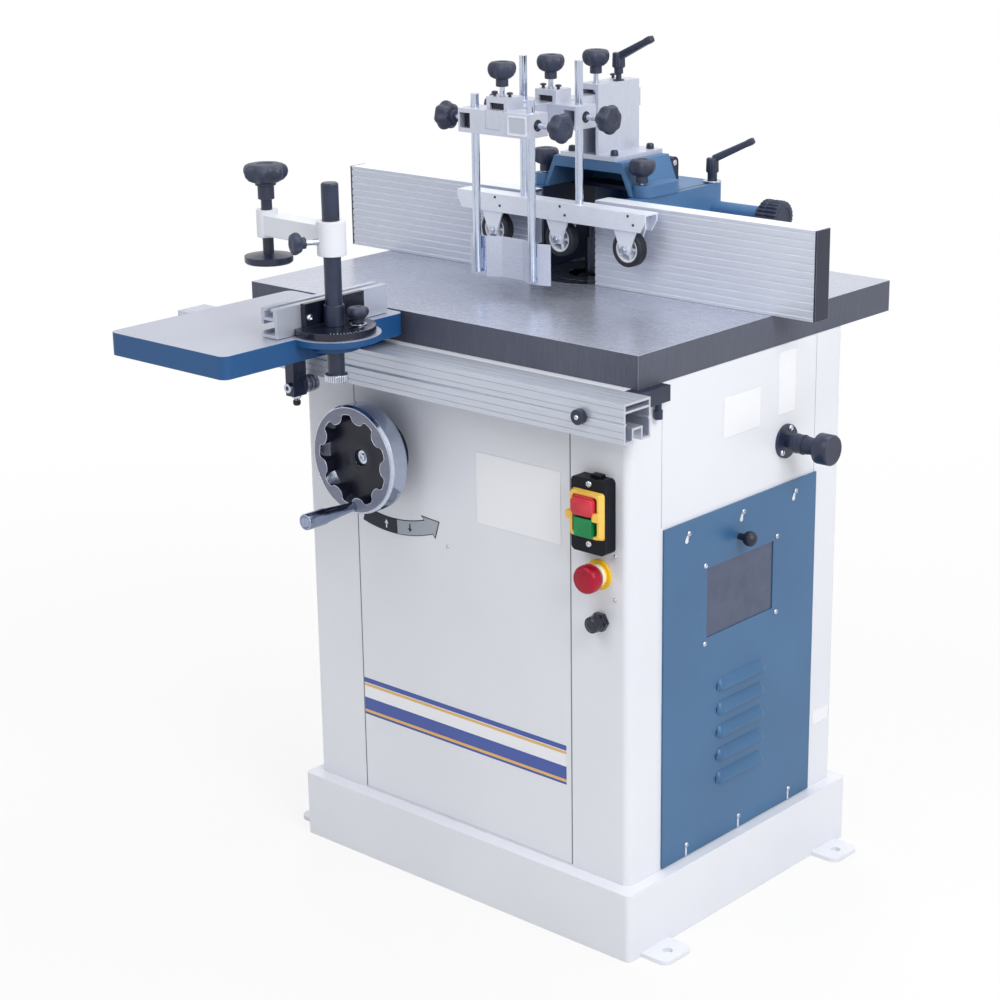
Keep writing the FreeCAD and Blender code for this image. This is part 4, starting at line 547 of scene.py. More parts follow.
def addLathe(shape, profile, place, axis, steps=usualSteps, ring=False, lobes=0):
    # turns a profile of (radius, height) about an axis; a ring's profile is closed on itself,
    # and a third value is how far the radius dips between lobes, as a share
    turn = Vector((0, 0, 1)).rotation_difference(Vector(axis)).to_matrix()
    rows = []
    for radius, height, *dip in profile:
        count = steps if radius > 0 else 1
        row = []
        for number in range(count):
            angle = 2 * math.pi * number / steps
            reach = radius
            if dip:
                reach *= 1.0 - dip[0] * (0.5 - 0.5 * math.cos(lobes * angle))
            local = Vector((reach * math.cos(angle), reach * math.sin(angle), height))
            row.append(shape.verts.new((turn @ local + Vector(place)) * mm))
        rows.append(row)
    pairs = list(zip(rows, rows[1:]))
    if ring:
        pairs.append((rows[-1], rows[0]))
    for low, high in pairs:
        for number in range(steps):
            after = (number + 1) % steps
            if len(low) == 1:
                shape.faces.new((low[0], high[number], high[after]))
            elif len(high) == 1:
                shape.faces.new((low[number], high[0], low[after]))
            else:
                shape.faces.new((low[number], high[number], high[after], low[after]))


def joinRows(shape, rows, closed=True):
    # faces between rows of as many points, all round or open at the ends
    for low, high in zip(rows, rows[1:]):
        for number in range(len(low) if closed else len(low) - 1):
            after = (number + 1) % len(low)
            shape.faces.new((low[number], low[after], high[after], high[number]))


def addSlab(shape, outline, spot, low, high, bevel=0.0):
    below, above = [[shape.verts.new(spot(u, v, w) * mm) for u, v in outline] for w in (low, high)]
    shape.faces.new(below)
    cap = shape.faces.new(above)
    joinRows(shape, [below, above])
    if bevel:
        bmesh.ops.bevel(shape, geom=cap.edges[:], offset=bevel * mm, segments=2, affect="EDGES", profile=0.5)


def addLoop(shape, outer, inner, spot, low, high, foot=None):
    # a flat frame between two outlines of as many points, on a foot of its own if it has one
    rows = []
    for outline, height in ((foot or outer, low), (outer, high), (inner, high), (inner, low)):
        rows.append([shape.verts.new(spot(u, v, height) * mm) for u, v in outline])
    joinRows(shape, rows + rows[:1])


def plainRect(left, right, low, high):
    return [(left, low), (right, low), (right, high), (left, high)]


def arcPoints(u, v, radius, first, sweep, steps):
    # an arc about a middle, from its first angle, in degrees
    turns = [math.radians(first + sweep * number / steps) for number in range(steps + 1)]
    return [(u + radius * math.cos(turn), v + radius * math.sin(turn)) for turn in turns]


def roundRect(left, right, low, high, radius, steps=6):
    points = []
    for u, v, first in (
        (right - radius, high - radius, 0.0), (left + radius, high - radius, 90.0),
        (left + radius, low + radius, 180.0), (right - radius, low + radius, 270.0),
    ):
        points += arcPoints(u, v, radius, first, 90.0, steps)
    return points


def looseObject(shape, name):
    mesh = bpy.data.meshes.new(name)
    shape.to_mesh(mesh)
    shape.free()
    piece = bpy.data.objects.new(name, mesh)
    scene.collection.objects.link(piece)
    return piece


def settlePiece(piece, body, smooth):
    piece.data.shade_smooth()
    piece.data.set_sharp_from_angle(angle=math.radians(smooth))
    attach(piece, body)
    return piece


def makePiece(name, body, finish, parts, smooth=smoothing["usual"]):
    # a piece of one or more parts, each a shape tool and what it is given
    shape = bmesh.new()
    for tool, *given in parts:
        tool(shape, *given)
    bmesh.ops.remove_doubles(shape, verts=shape.verts, dist=1e-7)
    bmesh.ops.recalc_face_normals(shape, faces=shape.faces)
    piece = looseObject(shape, name)
    piece.data.materials.append(finishOf(finish))
    return settlePiece(piece, body, smooth)


def turnPiece(name, body, finish, turns, smooth=smoothing["usual"]):
    # each turn is a profile with its place, axis and steps, whether it is a ring, and its lobes
    return makePiece(name, body, finish, [(addLathe, *turn) for turn in turns], smooth)


# Geometry Nodes: trees that set shapes on points, and end as plain mesh in one finish
def openGrowTree(name, inputs):
    tree = bpy.data.node_groups.new(name, "GeometryNodeTree")
    sockets = [("Geometry", "Geometry")] + inputs + [("Finish", "Material")]
    for label, kind in sockets:
        tree.interface.new_socket(label, in_out="INPUT", socket_type="NodeSocket" + kind)
    tree.interface.new_socket("Geometry", in_out="OUTPUT", socket_type="NodeSocketGeometry")
    return tree, tree.nodes.new("NodeGroupInput"), tree.nodes.new("GeometryNodeInstanceOnPoints")


def closeGrowTree(tree, start, place):
    real = tree.nodes.new("GeometryNodeRealizeInstances")
    coat = tree.nodes.new("GeometryNodeSetMaterial")
    end = tree.nodes.new("NodeGroupOutput")
    tree.links.new(place.outputs["Instances"], real.inputs["Geometry"])
    tree.links.new(real.outputs["Geometry"], coat.inputs["Geometry"])
    tree.links.new(start.outputs["Finish"], coat.inputs["Material"])
    tree.links.new(coat.outputs["Geometry"], end.inputs["Geometry"])
    return tree


def makeHeadTree():
    # heads on points, each turned to face outwards and spun by chance
    tree, start, place = openGrowTree("headsOnPoints", [("Head", "Object"), ("Size", "Float"), ("Seed", "Int")])
    head = tree.nodes.new("GeometryNodeObjectInfo")
    facing = tree.nodes.new("GeometryNodeInputNamedAttribute")
    facing.data_type = "FLOAT_VECTOR"
    facing.inputs["Name"].default_value = "facing"
    lean = tree.nodes.new("FunctionNodeAlignRotationToVector")
    lean.axis = "Z"
    spin = tree.nodes.new("FunctionNodeRandomValue")
    spin.data_type = "FLOAT"
    twist = tree.nodes.new("FunctionNodeAxisAngleToRotation")
    turn = tree.nodes.new("FunctionNodeRotateRotation")
    turn.rotation_space = "LOCAL"
    link = tree.links.new
    link(start.outputs["Head"], head.inputs["Object"])
    link([s for s in facing.outputs if s.enabled][0], lean.inputs["Vector"])
    most = [s for s in spin.inputs if s.name == "Max" and s.enabled][0]
    most.default_value = math.pi
    link(start.outputs["Seed"], spin.inputs["Seed"])
    link([s for s in spin.outputs if s.enabled][0], twist.inputs["Angle"])
    link(lean.outputs["Rotation"], turn.inputs["Rotation"])
    link(twist.outputs["Rotation"], turn.inputs["Rotate By"])
    link(start.outputs["Geometry"], place.inputs["Points"])
    link(head.outputs["Geometry"], place.inputs["Instance"])
    link(turn.outputs["Rotation"], place.inputs["Rotation"])
    link(start.outputs["Size"], place.inputs["Scale"])
    return closeGrowTree(tree, start, place)


headTree = makeHeadTree()


def growPiece(name, tree, seedMesh, values, body, finish, smooth=smoothing["usual"]):
    piece = bpy.data.objects.new(name, seedMesh)
    scene.collection.objects.link(piece)
    modifier = piece.modifiers.new("grow", "NODES")
    modifier.node_group = tree
    settings = dict(values, Finish=finishOf(finish))
    for item in tree.interface.items_tree:
        if item.in_out == "INPUT" and item.name in settings:
            modifier[item.identifier] = settings[item.name]
    bpy.context.view_layer.update()
    graph = bpy.context.evaluated_depsgraph_get()
    mesh = bpy.data.meshes.new_from_object(piece.evaluated_get(graph))
    piece.modifiers.clear()
    piece.data = mesh
    return settlePiece(piece, body, smooth)


def pointMesh(name, spots):
    mesh = bpy.data.meshes.new(name)
    mesh.from_pydata([tuple(Vector(place) * mm) for place, facing in spots], [], [])
    layer = mesh.attributes.new("facing", "FLOAT_VECTOR", "POINT")
    for number, (place, facing) in enumerate(spots):
        layer.data[number].vector = facing
    return mesh


headShape = {
    "sides": 24, "sunk": 0.3, "lip": 0.25, "lipDrop": 0.2,
    "button": [(1.0, 0.3), (0.9, 0.66), (0.66, 0.93)],  # shares of the radius and the height, up the side
    "cap": [(1.0, 0.45), (0.93, 0.78), (0.78, 1.0)],
}


def headObject(kind, radius, height, socket, depth):
    # a screw head with a six-sided socket, standing on the plane z = 0
    shape = bmesh.new()
    angles = [2 * math.pi * number / headShape["sides"] for number in range(headShape["sides"])]
    sixth = math.pi / 3
    hexagon = [socket / math.cos((angle + sixth / 2) % sixth - sixth / 2) for angle in angles]
    rings = [([radius] * len(angles), -headShape["sunk"])]
    rings += [([share * radius] * len(angles), rise * height) for share, rise in headShape[kind]]
    rings.append(([reach + headShape["lip"] for reach in hexagon], height))
    rings += [(hexagon, height - headShape["lipDrop"]), (hexagon, height - depth)]
    laid = []
    for reaches, rise in rings:
        laid.append([shape.verts.new(Vector((reach * math.cos(angle), reach * math.sin(angle), rise)) * mm)
                     for reach, angle in zip(reaches, angles)])
    joinRows(shape, laid)
    shape.faces.new(laid[-1])
    shape.faces.new(laid[0][::-1])
    bmesh.ops.recalc_face_normals(shape, faces=shape.faces)
    return looseObject(shape, kind + "Head")


heads = {  # radius, height, half the socket's width, and its depth
    "button": headObject("button", 4.0, 2.6, 1.5, 1.4),
    "cap": headObject("cap", 6.0, 8.0, 2.9, 3.5),
}


def setHeads(name, kind, size, spots, body, finish="brightSteel"):
    return growPiece(name, headTree, pointMesh(name, spots), {"Head": heads[kind], "Size": size, "Seed": 11},
                     body, finish)


outFront = (0.0, -1.0, 0.0)
outRight = (1.0, 0.0, 0.0)
outLeft = (-1.0, 0.0, 0.0)
outUp = (0.0, 0.0, 1.0)

# front panel: bare sign plate, plain stripes and the turning arrow
signPlate = {"edges": (30.0, 186.0, 580.0, 685.0), "corner": 3.0, "thick": 0.5, "bevel": 0.15}
stripes = {
    "left": -208.6, "right": 193.0, "top": 285.0, "thick": 0.35, "bevel": 0.1,
    "rows": [("stripeBlue", 7.5), ("signFilm", 1.5), ("stripeGold", 4.0), ("signFilm", 19.0),
             ("stripeBlue", 19.5), ("stripeGold", 4.5), ("stripeBlue", 3.5)],
    "slots": {"stripeBlue": "machine_blue", "stripeGold": "stop_yellow", "signFilm": "cabinet_white"},
}


def buildPanelFilm():
    outline = roundRect(*signPlate["edges"], signPlate["corner"])
    makePiece("signPlate", "frame", "signFilm", [
        (addSlab, outline, frontSpot, 0.0, signPlate["thick"], signPlate["bevel"])], smoothing["film"])
    strips = {}
    top = stripes["top"]
    for finish, height in stripes["rows"]:
        outline = plainRect(stripes["left"], stripes["right"], top - height, top)
        strips.setdefault(finish, []).append((addSlab, outline, frontSpot, 0.0, stripes["thick"], stripes["bevel"]))
        top -= height
    for finish, parts in strips.items():
        makePiece("band." + finish, "frame", finish, parts, smoothing["film"])


arrow = {
    "start": (-196.0, 549.0), "middle": (-128.0, 541.5), "end": (-70.0, 552.0),  # the band's middle line
    "half": 10.5, "border": 1.2, "steps": 24, "first": 0.02, "split": 0.52, "gap": 0.015, "last": 1.07, "ahead": 0.01,
    "thick": 0.4, "edge": 0.2, "step": 0.02, "lift": 0.1,
    "head": [(-80.3, 568.5), (-43.0, 566.0), (-52.0, 538.0)], "inset": 0.86,
    "ways": (0.36, 0.74), "way": 13.0, "stem": 1.3, "barb": 4.0, "root": 0.5,  # the two small arrows on the band
}


def arrowLine(share):
    # a parabola through the three points of the band's middle line
    (x0, z0), (x1, z1), (x2, z2) = arrow["start"], arrow["middle"], arrow["end"]
    x = x0 + (x2 - x0) * share
    z = (z0 * (x - x1) * (x - x2) / ((x0 - x1) * (x0 - x2)) + z1 * (x - x0) * (x - x2) / ((x1 - x0) * (x1 - x2))
         + z2 * (x - x0) * (x - x1) / ((x2 - x0) * (x2 - x1)))
    return x, z


def bandOutline(first, last, half):
    upper, lower = [], []
    for number in range(arrow["steps"] + 1):
        share = first + (last - first) * number / arrow["steps"]
        x, z = arrowLine(share)
        nextX, nextZ = arrowLine(share + arrow["ahead"])
        run = math.hypot(nextX - x, nextZ - z)
        across = (-(nextZ - z) / run, (nextX - x) / run)
        upper.append((x + across[0] * half, z + across[1] * half))
        lower.append((x - across[0] * half, z - across[1] * half))
    return lower + upper[::-1]


def smallArrow(middle, height, upward):
    # a plain straight arrow for the two directions of the wheel
    x, z = middle
    side = 1.0 if upward else -1.0
    half, stem, barb, root = height / 2, arrow["stem"], arrow["barb"], arrow["root"]
    points = [(-stem, -half), (stem, -half), (stem, root), (barb, root), (0.0, half), (-barb, root), (-stem, root)]
    return [(x + u, z + side * v) for u, v in points]


def buildTurnArrow():
    split, last, half = arrow["split"], arrow["last"], arrow["half"]
    thick, edge, step, lift = arrow["thick"], arrow["edge"], arrow["step"], arrow["lift"]
    up, down = [arrowLine(share) for share in arrow["ways"]]
    middle = [sum(corner[way] for corner in arrow["head"]) / 3 for way in (0, 1)]
    inner = [[m + arrow["inset"] * (c - m) for m, c in zip(middle, corner)] for corner in arrow["head"]]
    for name, slot, finish, slabs in (
        ("arrowEdge", "black_plastic", "decalDark", [
            (bandOutline(0.0, last, half + arrow["border"]), 0.0, edge), (arrow["head"], 0.0, edge + step)]),
        ("arrowDark", "black_plastic", "decalDark", [
            (bandOutline(arrow["first"], split, half), 0.0, thick),
            (smallArrow(down, arrow["way"], False), lift, thick + lift)]),
        ("arrowGrey", "extruded_aluminium", "decalGrey", [
            (bandOutline(split + arrow["gap"], last, half), 0.0, thick), (inner, 0.0, thick + step)]),
        ("arrowBright", "cabinet_white", "decalBright", [
            (smallArrow(up, arrow["way"], True), lift, thick + lift)]),
    ):
        makePiece(name, "frame", finish, [(addSlab, outline, frontSpot, *span) for outline, *span in slabs])


panelSeams = {"xs": ((-210.9, -209.1), (202.1, 203.9)), "low": 105.0, "high": 786.0, "thick": 0.12}
buildPanelFilm()
buildTurnArrow()
makePiece("panelSeams", "frame", "seamDark", [
    (addSlab, plainRect(*edges, panelSeams["low"], panelSeams["high"]), frontSpot, 0.0, panelSeams["thick"])
    for edges in panelSeams["xs"]])
panelScrews = {"size": 0.75, "spots": [(-27.5, 532.0), (281.0, 584.0), (281.0, 522.5)]}
setHeads("panelScrews", "button", panelScrews["size"], [
    (tuple(frontSpot(u, v, 0.0)), outFront) for u, v in panelScrews["spots"]
], "frame")
print("front panel dressed")

# handwheel: scalloped face, black dish and hub
wheel = {
    "middle": (-150.0, -283.0, 653.0), "lobes": 9, "lobeIn": 55.6, "valley": 66.6, "outer": 67.5, "firstLobe": 118.0,
    "faceOuter": 77.6, "lobeHalf": 10.5, "filletHalf": 16.0, "shoulder": 0.32, "floor": 7.0, "face": 25.5, "cap": 1.0,
    "steps": 360, "lobeGap": 0.5, "dishSteps": 96,
    "lineDepth": 0.8, "lineProud": 0.15, "lobeLine": (0.9, -0.1), "rimLine": (77.7, 76.5),
    "dish": [(63.5, 7.05), (63.5, 7.7), (40.0, 7.9), (26.5, 8.2), (24.5, 8.8), (14.2, 9.0), (13.2, 8.6), (13.05, 7.05)],
    "sink": [(13.05, 7.0), (12.7, 8.3), (12.6, 4.6), (9.9, 4.5), (9.9, 4.1), (13.0, 4.1)],
    "bolt": [(5.6, 4.1), (5.6, 6.2), (5.0, 6.8), (2.8, 6.8), (2.5, 5.0), (0.0, 4.9)],
}
crank = {
    "place": (-150.0, -283.0, 584.0), "groove": [(6.7, 120.4), (8.4, 120.4), (8.4, 120.9), (6.7, 120.9)],
    "tip": [(11.6, 84.0), (11.9, 86.0), (11.9, 119.6), (11.5, 120.9), (10.5, 121.5), (8.8, 121.5), (8.5, 120.5),
            (6.6, 120.5), (6.4, 121.4), (5.8, 121.6), (0.0, 121.6)],
}


def lobeEdge(extra):
    # round tabs that reach inwards, joined to the rim by fillets
    points = []
    pitch = 360.0 / wheel["lobes"]
    for number in range(wheel["steps"]):
        turn = 360.0 * number / wheel["steps"]
        off = abs((turn - wheel["firstLobe"] + pitch / 2) % pitch - pitch / 2)
        swell = 0.0
        if off < wheel["lobeHalf"]:
            swell = wheel["shoulder"] + (1 - wheel["shoulder"]) * math.sqrt(1 - (off / wheel["lobeHalf"]) ** 2)
        elif off < wheel["filletHalf"]:
            left = (wheel["filletHalf"] - off) / (wheel["filletHalf"] - wheel["lobeHalf"])
            swell = wheel["shoulder"] * left * left
        reach = wheel["valley"] - (wheel["valley"] - wheel["lobeIn"]) * swell + extra
        points.append((reach * math.cos(math.radians(turn)), reach * math.sin(math.radians(turn))))
    return points


def circleEdge(radius):
    return arcPoints(0.0, 0.0, radius, 0.0, 360.0, wheel["steps"])[:-1]


def buildWheel():
    under, face, plane = wheel["face"] - wheel["cap"], wheel["face"], discPlane(*wheel["middle"])
    scallops = lobeEdge(wheel["lobeGap"])
    line = [(make(outer), make(inner), plane, face - wheel["lineDepth"], face + wheel["lineProud"])
            for make, (outer, inner) in ((lobeEdge, wheel["lobeLine"]), (circleEdge, wheel["rimLine"]))]
    for name, slot, finish, loops in (
        ("wheelDishWall", "black_plastic", "dishBlack", [
            (circleEdge(wheel["outer"]), scallops, plane, wheel["floor"], under)]),
        ("wheelLobedFace", "bright_chrome", "wheelGrey", [
            (circleEdge(wheel["faceOuter"]), scallops, plane, under, face)]),
        ("wheelFaceEdge", "bright_chrome", "brightSteel", line),
    ):
        makePiece(name, "handwheel", finish, [(addLoop, *loop) for loop in loops], smoothing["rim"])
    turnPiece("wheelDish", "handwheel", "dishBlack", [
        (wheel[ring], wheel["middle"], outFront, wheel["dishSteps"], True) for ring in ("dish", "sink")])
    turnPiece("wheelBolt", "handwheel", "brightSteel", [(wheel["bolt"], wheel["middle"], outFront)])
    turnPiece("crankTip", "crank", "crankChrome", [(crank["tip"], crank["place"], outFront)])
    turnPiece("crankGroove", "crank", "dishBlack", [
        (crank["groove"], crank["place"], outFront, usualSteps, True)])


buildWheel()
print("handwheel dressed")

# switch: yellow bezel with its lugs, and the box screws
switch = {
    "face": -264.0, "foot": (225.0, 281.4, 611.6, 677.4), "outer": (227.6, 277.6, 613.8, 675.6),
    "inner": (231.6, 274.2, 617.4, 671.6), "corner": 4.5, "deep": 8.0, "round": 0.5,
    "lugs": [  # edges, corner, depth
        ((267.6, 279.0, 639.0, 650.5), 1.5, 11.5), ((217.2, 226.7, 633.5, 645.7), 2.0, 6.0)],
    "lugBevel": 0.6, "screwX": 254.5, "screwZs": (686.5, 602.8), "screwSize": 1.2,
    "lens": (234.2, 269.8, 645.4, 668.8, 4.0), "lensDepths": (4.5, 15.0, 2.2),  # edges and corner; depths and bevel
    "hump": (248.0, 266.0, 692.5, 697.4, 1.8), "humpDepths": (-20.4, -10.0, 0.8),
}
switchSpot = frontPlane(switch["face"])


def buildSwitch():
    outer, inner, foot = [roundRect(*switch[edges], switch["corner"]) for edges in ("outer", "inner", "foot")]
    parts = [(addSlab, roundRect(*edges, corner), switchSpot, 0.0, deep, switch["lugBevel"])
             for edges, corner, deep in switch["lugs"]]
    parts.insert(0, (addLoop, outer, inner, switchSpot, 0.0, switch["deep"], foot))
    piece = makePiece("switchBezel", "frame", "switchYellow", parts)
    rounding = piece.modifiers.new("round", "BEVEL")
    rounding.width = switch["round"] * mm
    rounding.segments = 2
    rounding.limit_method = "ANGLE"
    setHeads("switchScrews", "button", switch["screwSize"], [
        ((switch["screwX"], switch["face"], z), outFront) for z in switch["screwZs"]
    ], "frame")
    makePiece("redLens", "red_button", "switchRed", [
        (addSlab, roundRect(*switch["lens"]), switchSpot, *switch["lensDepths"])], smoothing["soft"])
    makePiece("switchHump", "frame", "boxPlastic", [
        (addSlab, roundRect(*switch["hump"]), switchSpot, *switch["humpDepths"])])


estop = {
    "place": (253.7, walls["front"], 553.5), "steps": 64, "profile": [
        (0.0, 5.3), (8.0, 5.3), (8.0, 16.3), (16.8, 16.3), (19.2, 17.2), (20.0, 19.4), (20.0, 28.4), (19.5, 31.0),
        (18.2, 33.2), (16.0, 34.6), (13.2, 35.3), (12.6, 35.0), (11.8, 35.4), (6.0, 35.5), (0.0, 35.5)],
}
gland = {"place": (257.0, walls["front"], 487.0), "ribs": 16, "steps": 96, "profile": [
    (11.6, 8.2), (12.3, 9.0, 0.06), (12.3, 15.5, 0.06), (11.7, 17.0, 0.03), (11.2, 19.6), (9.6, 22.4), (7.2, 24.0),
    (5.4, 24.5), (5.0, 23.8), (0.0, 23.6)]}


def buildStopAndGland():
    piece = turnPiece("stopMushroom", "estop_button", "buttonRed", [
        (estop["profile"], estop["place"], outFront, estop["steps"])], smoothing["rim"])
    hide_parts("estop_button")
    turnPiece("glandDome", "frame", "glossBlack", [
        (gland["profile"], gland["place"], outFront, gland["steps"], False, gland["ribs"])], smoothing["round"])


buildSwitch()
buildStopAndGland()
print("switch dressed")

# side cover: pane, louvre hoods, keyholes, bottom slots, and the bare plates and seams on the side wall
cover = {
    "face": 308.0, "low": 104.0, "pane": (-76.0, 87.0, 422.0, 531.0), "paneBack": 304.2, "paneFront": 306.4,
    "paneScrews": [(-78.0, 533.5), (92.0, 533.5), (92.0, 417.5), (-78.0, 417.5)],
    "keyScrews": [(-116.0, 590.5), (9.5, 591.0), (136.0, 591.0)],
    "slotScrews": [(-115.0, 121.5), (9.5, 122.0), (135.0, 121.5)],
    "keyDrop": 10.0, "keyShift": 4.5, "keyWide": 7.5, "keyThin": 5.0, "keyArc": (150.0, 240.0, 12),
    "slotWide": 3.6, "film": 0.25, "paneCorner": 2.0, "paneBevel": 0.2,
}


def keyOutline(middle):
    # a wide round below a narrow neck
    u, v = middle
    wide, thin = 0.5 * cover["keyWide"], 0.5 * cover["keyThin"]
    points = arcPoints(u - cover["keyShift"], v - cover["keyDrop"], wide, *cover["keyArc"])
    return points + [(u + thin, v), (u - thin, v)]


def buildSideCover():
    makePiece("coverPane", "frame", "paneGrey", [
        (addSlab, roundRect(*cover["pane"], cover["paneCorner"]), rightPlane(cover["paneBack"]), 0.0,
         cover["paneFront"] - cover["paneBack"], cover["paneBevel"])], smoothing["film"])
    half = 0.5 * cover["slotWide"]
    holes = [keyOutline(spot) for spot in cover["keyScrews"]]
    holes += [plainRect(u - half, u + half, cover["low"], v) for u, v in cover["slotScrews"]]
    makePiece("coverOpenings", "frame", "whitePaint", [
        (addSlab, outline, rightPlane(cover["face"]), 0.0, cover["film"]) for outline in holes])
    spots = cover["paneScrews"] + cover["keyScrews"] + cover["slotScrews"]
    setHeads("coverScrews", "button", 1.0, [((cover["face"], u, v), outRight) for u, v in spots], "frame")


buildSideCover()

louvre = {
    "middle": 9.25, "half": 56.75, "low": 194.04, "pitch": 35.99, "count": 5, "high": 17.0, "proud": 7.5, "end": 11.0,
    "sheet": 1.0, "across": 40, "up": 8, "lift": 0.05, "bulge": 0.8,
}


def louvreHood():
    # one pressed hood, open below, standing on the cover's face at the lowest place of the row
    shape = bmesh.new()
    rows = []
    for j in range(louvre["up"] + 1):
        row = []
        for i in range(louvre["across"] + 1):
            u = -louvre["half"] + 2 * louvre["half"] * i / louvre["across"]
            inset = max(0.0, abs(u) - (louvre["half"] - louvre["end"])) / louvre["end"]
            share = math.sqrt(max(0.0, 1.0 - inset * inset))
            v = louvre["high"] * share * j / louvre["up"]
            reach = louvre["proud"] * share * math.cos(0.5 * math.pi * j / louvre["up"]) ** louvre["bulge"]
            spot = (cover["face"] + louvre["lift"] + reach, louvre["middle"] + u, v)
            row.append(shape.verts.new(Vector(spot) * mm))
        rows.append(row)
    joinRows(shape, rows, False)
    bmesh.ops.remove_doubles(shape, verts=shape.verts, dist=1e-6)
    bmesh.ops.recalc_face_normals(shape, faces=shape.faces)
    if sum(face.normal.x for face in shape.faces) < 0:
        bmesh.ops.reverse_faces(shape, faces=shape.faces)
    bmesh.ops.solidify(shape, geom=shape.faces[:], thickness=louvre["sheet"] * mm)
    return looseObject(shape, "louvreHood")


def makeRowTree():
    # one shape repeated up a row
    tree, start, place = openGrowTree("shapesInRow", [
        ("Shape", "Object"), ("Count", "Int"), ("Start", "Vector"), ("Step", "Vector")])
    source = tree.nodes.new("GeometryNodeObjectInfo")
    row = tree.nodes.new("GeometryNodeMeshLine")
    row.mode = "OFFSET"
    link = tree.links.new
    link(start.outputs["Shape"], source.inputs["Object"])
    link(start.outputs["Count"], row.inputs["Count"])
    link(start.outputs["Start"], row.inputs["Start Location"])
    link(start.outputs["Step"], row.inputs["Offset"])
    link(row.outputs["Mesh"], place.inputs["Points"])
    link(source.outputs["Geometry"], place.inputs["Instance"])
    return closeGrowTree(tree, start, place)


hoodShape = louvreHood()
growPiece("louvreHoods", makeRowTree(), bpy.data.meshes.new("louvreHoods"), {
    "Shape": hoodShape, "Count": louvre["count"], "Start": (0.0, 0.0, louvre["low"] * mm),
    "Step": (0.0, 0.0, louvre["pitch"] * mm),
}, "frame", "bluePaint", smoothing["rim"])
bpy.data.objects.remove(hoodShape)

sideWall = {
    "plates": [(-36.0, 50.0, 706.5, 765.0), (92.0, 134.0, 712.0, 804.0), (199.0, 240.0, 202.0, 225.0)],
    "corner": 2.0, "thick": 0.4, "bevel": 0.1,
    "seams": [(-173.6, -172.6, 612.0, 766.0), (184.0, 185.0, 609.0, 813.0)], "seamProud": 0.08,
}
makePiece("sidePlates", "frame", "signFilm", [
    (addSlab, roundRect(*edges, sideWall["corner"]), sideSpot, 0.0, sideWall["thick"], sideWall["bevel"])
    for edges in sideWall["plates"]], smoothing["film"])
makePiece("sideSeams", "frame", "decalGrey", [
    (addSlab, plainRect(*edges), sideSpot, 0.0, sideWall["seamProud"]) for edges in sideWall["seams"]])
plunger = {
    "place": (walls["right"], 112.0, 671.0), "flange": 4.0,
    "screws": [(118.5, 689.5), (98.9, 656.8)], "screwSize": 1.15,
    "rings": [  # each with its steps
        ([(14.05, 20.0), (14.5, 20.4), (14.5, 22.0), (14.05, 22.4)], 64),
        ([(14.05, 31.0), (14.5, 31.4), (14.5, 33.4), (14.05, 33.8)], 64),
        ([(12.55, 38.0), (13.1, 38.4), (13.1, 40.6), (12.55, 41.0)], 64),
        ([(21.0, 58.8), (22.3, 60.2), (22.3, 79.6), (21.2, 81.6), (18.8, 81.9), (18.4, 82.0), (18.2, 58.9)], 72),
    ],
}
turnPiece("plungerTrim", "lock_plunger", "blackSteel", [
    (ring, plunger["place"], outRight, steps, True) for ring, steps in plunger["rings"]], smoothing["rim"])
setHeads("lockScrews", "button", plunger["screwSize"], [
    ((walls["right"] + plunger["flange"], u, v), outRight) for u, v in plunger["screws"]
], "frame")
print("side dressed")

# pressure device: bolts, small screws, rivets and rollers
flangeBolt = {"xs": (-122.0, -40.0), "ys": (148.0, 233.0), "foot": 1041.3}
setHeads("flangeBolts", "cap", 1.0, [
    ((x, y, flangeBolt["foot"]), outUp) for x in flangeBolt["xs"] for y in flangeBolt["ys"]
], "hood", "blackSteel")
blockScrew = {
    "steps": 28,
    "profile": [(0.0, 0.0), (2.4, 0.0), (2.4, 3.4), (4.3, 3.8), (4.8, 4.6), (4.6, 5.8), (3.4, 6.6), (2.0, 6.7),
                (1.6, 6.0), (0.0, 6.0)],
    "places": {  # foot of each screw, by the body that it rides
        "hood": [(-97.0, 214.0, 1145.3)],
        "front_holder": [(x, -54.5, 1147.8) for x in (-94.5, -65.5)],
        "rear_holder": [(x, 51.0, 1147.8) for x in (-94.5, -65.5)],
    },
}
for body, places in blockScrew["places"].items():
    turnPiece("blockScrews." + body, body, "blackSteel", [
        (blockScrew["profile"], place, outUp, blockScrew["steps"]) for place in places], smoothing["round"])
barRivet = {"size": 0.5, "y": 36.0, "xs": (-179.5, -51.5, 76.5), "pair": ((0.0, 980.0), (9.5, 968.0))}
setHeads("barRivets", "button", barRivet["size"], [
    ((x + dx, barRivet["y"], z), outFront) for x in barRivet["xs"] for dx, z in barRivet["pair"]
], "roller_bar", "blackSteel")

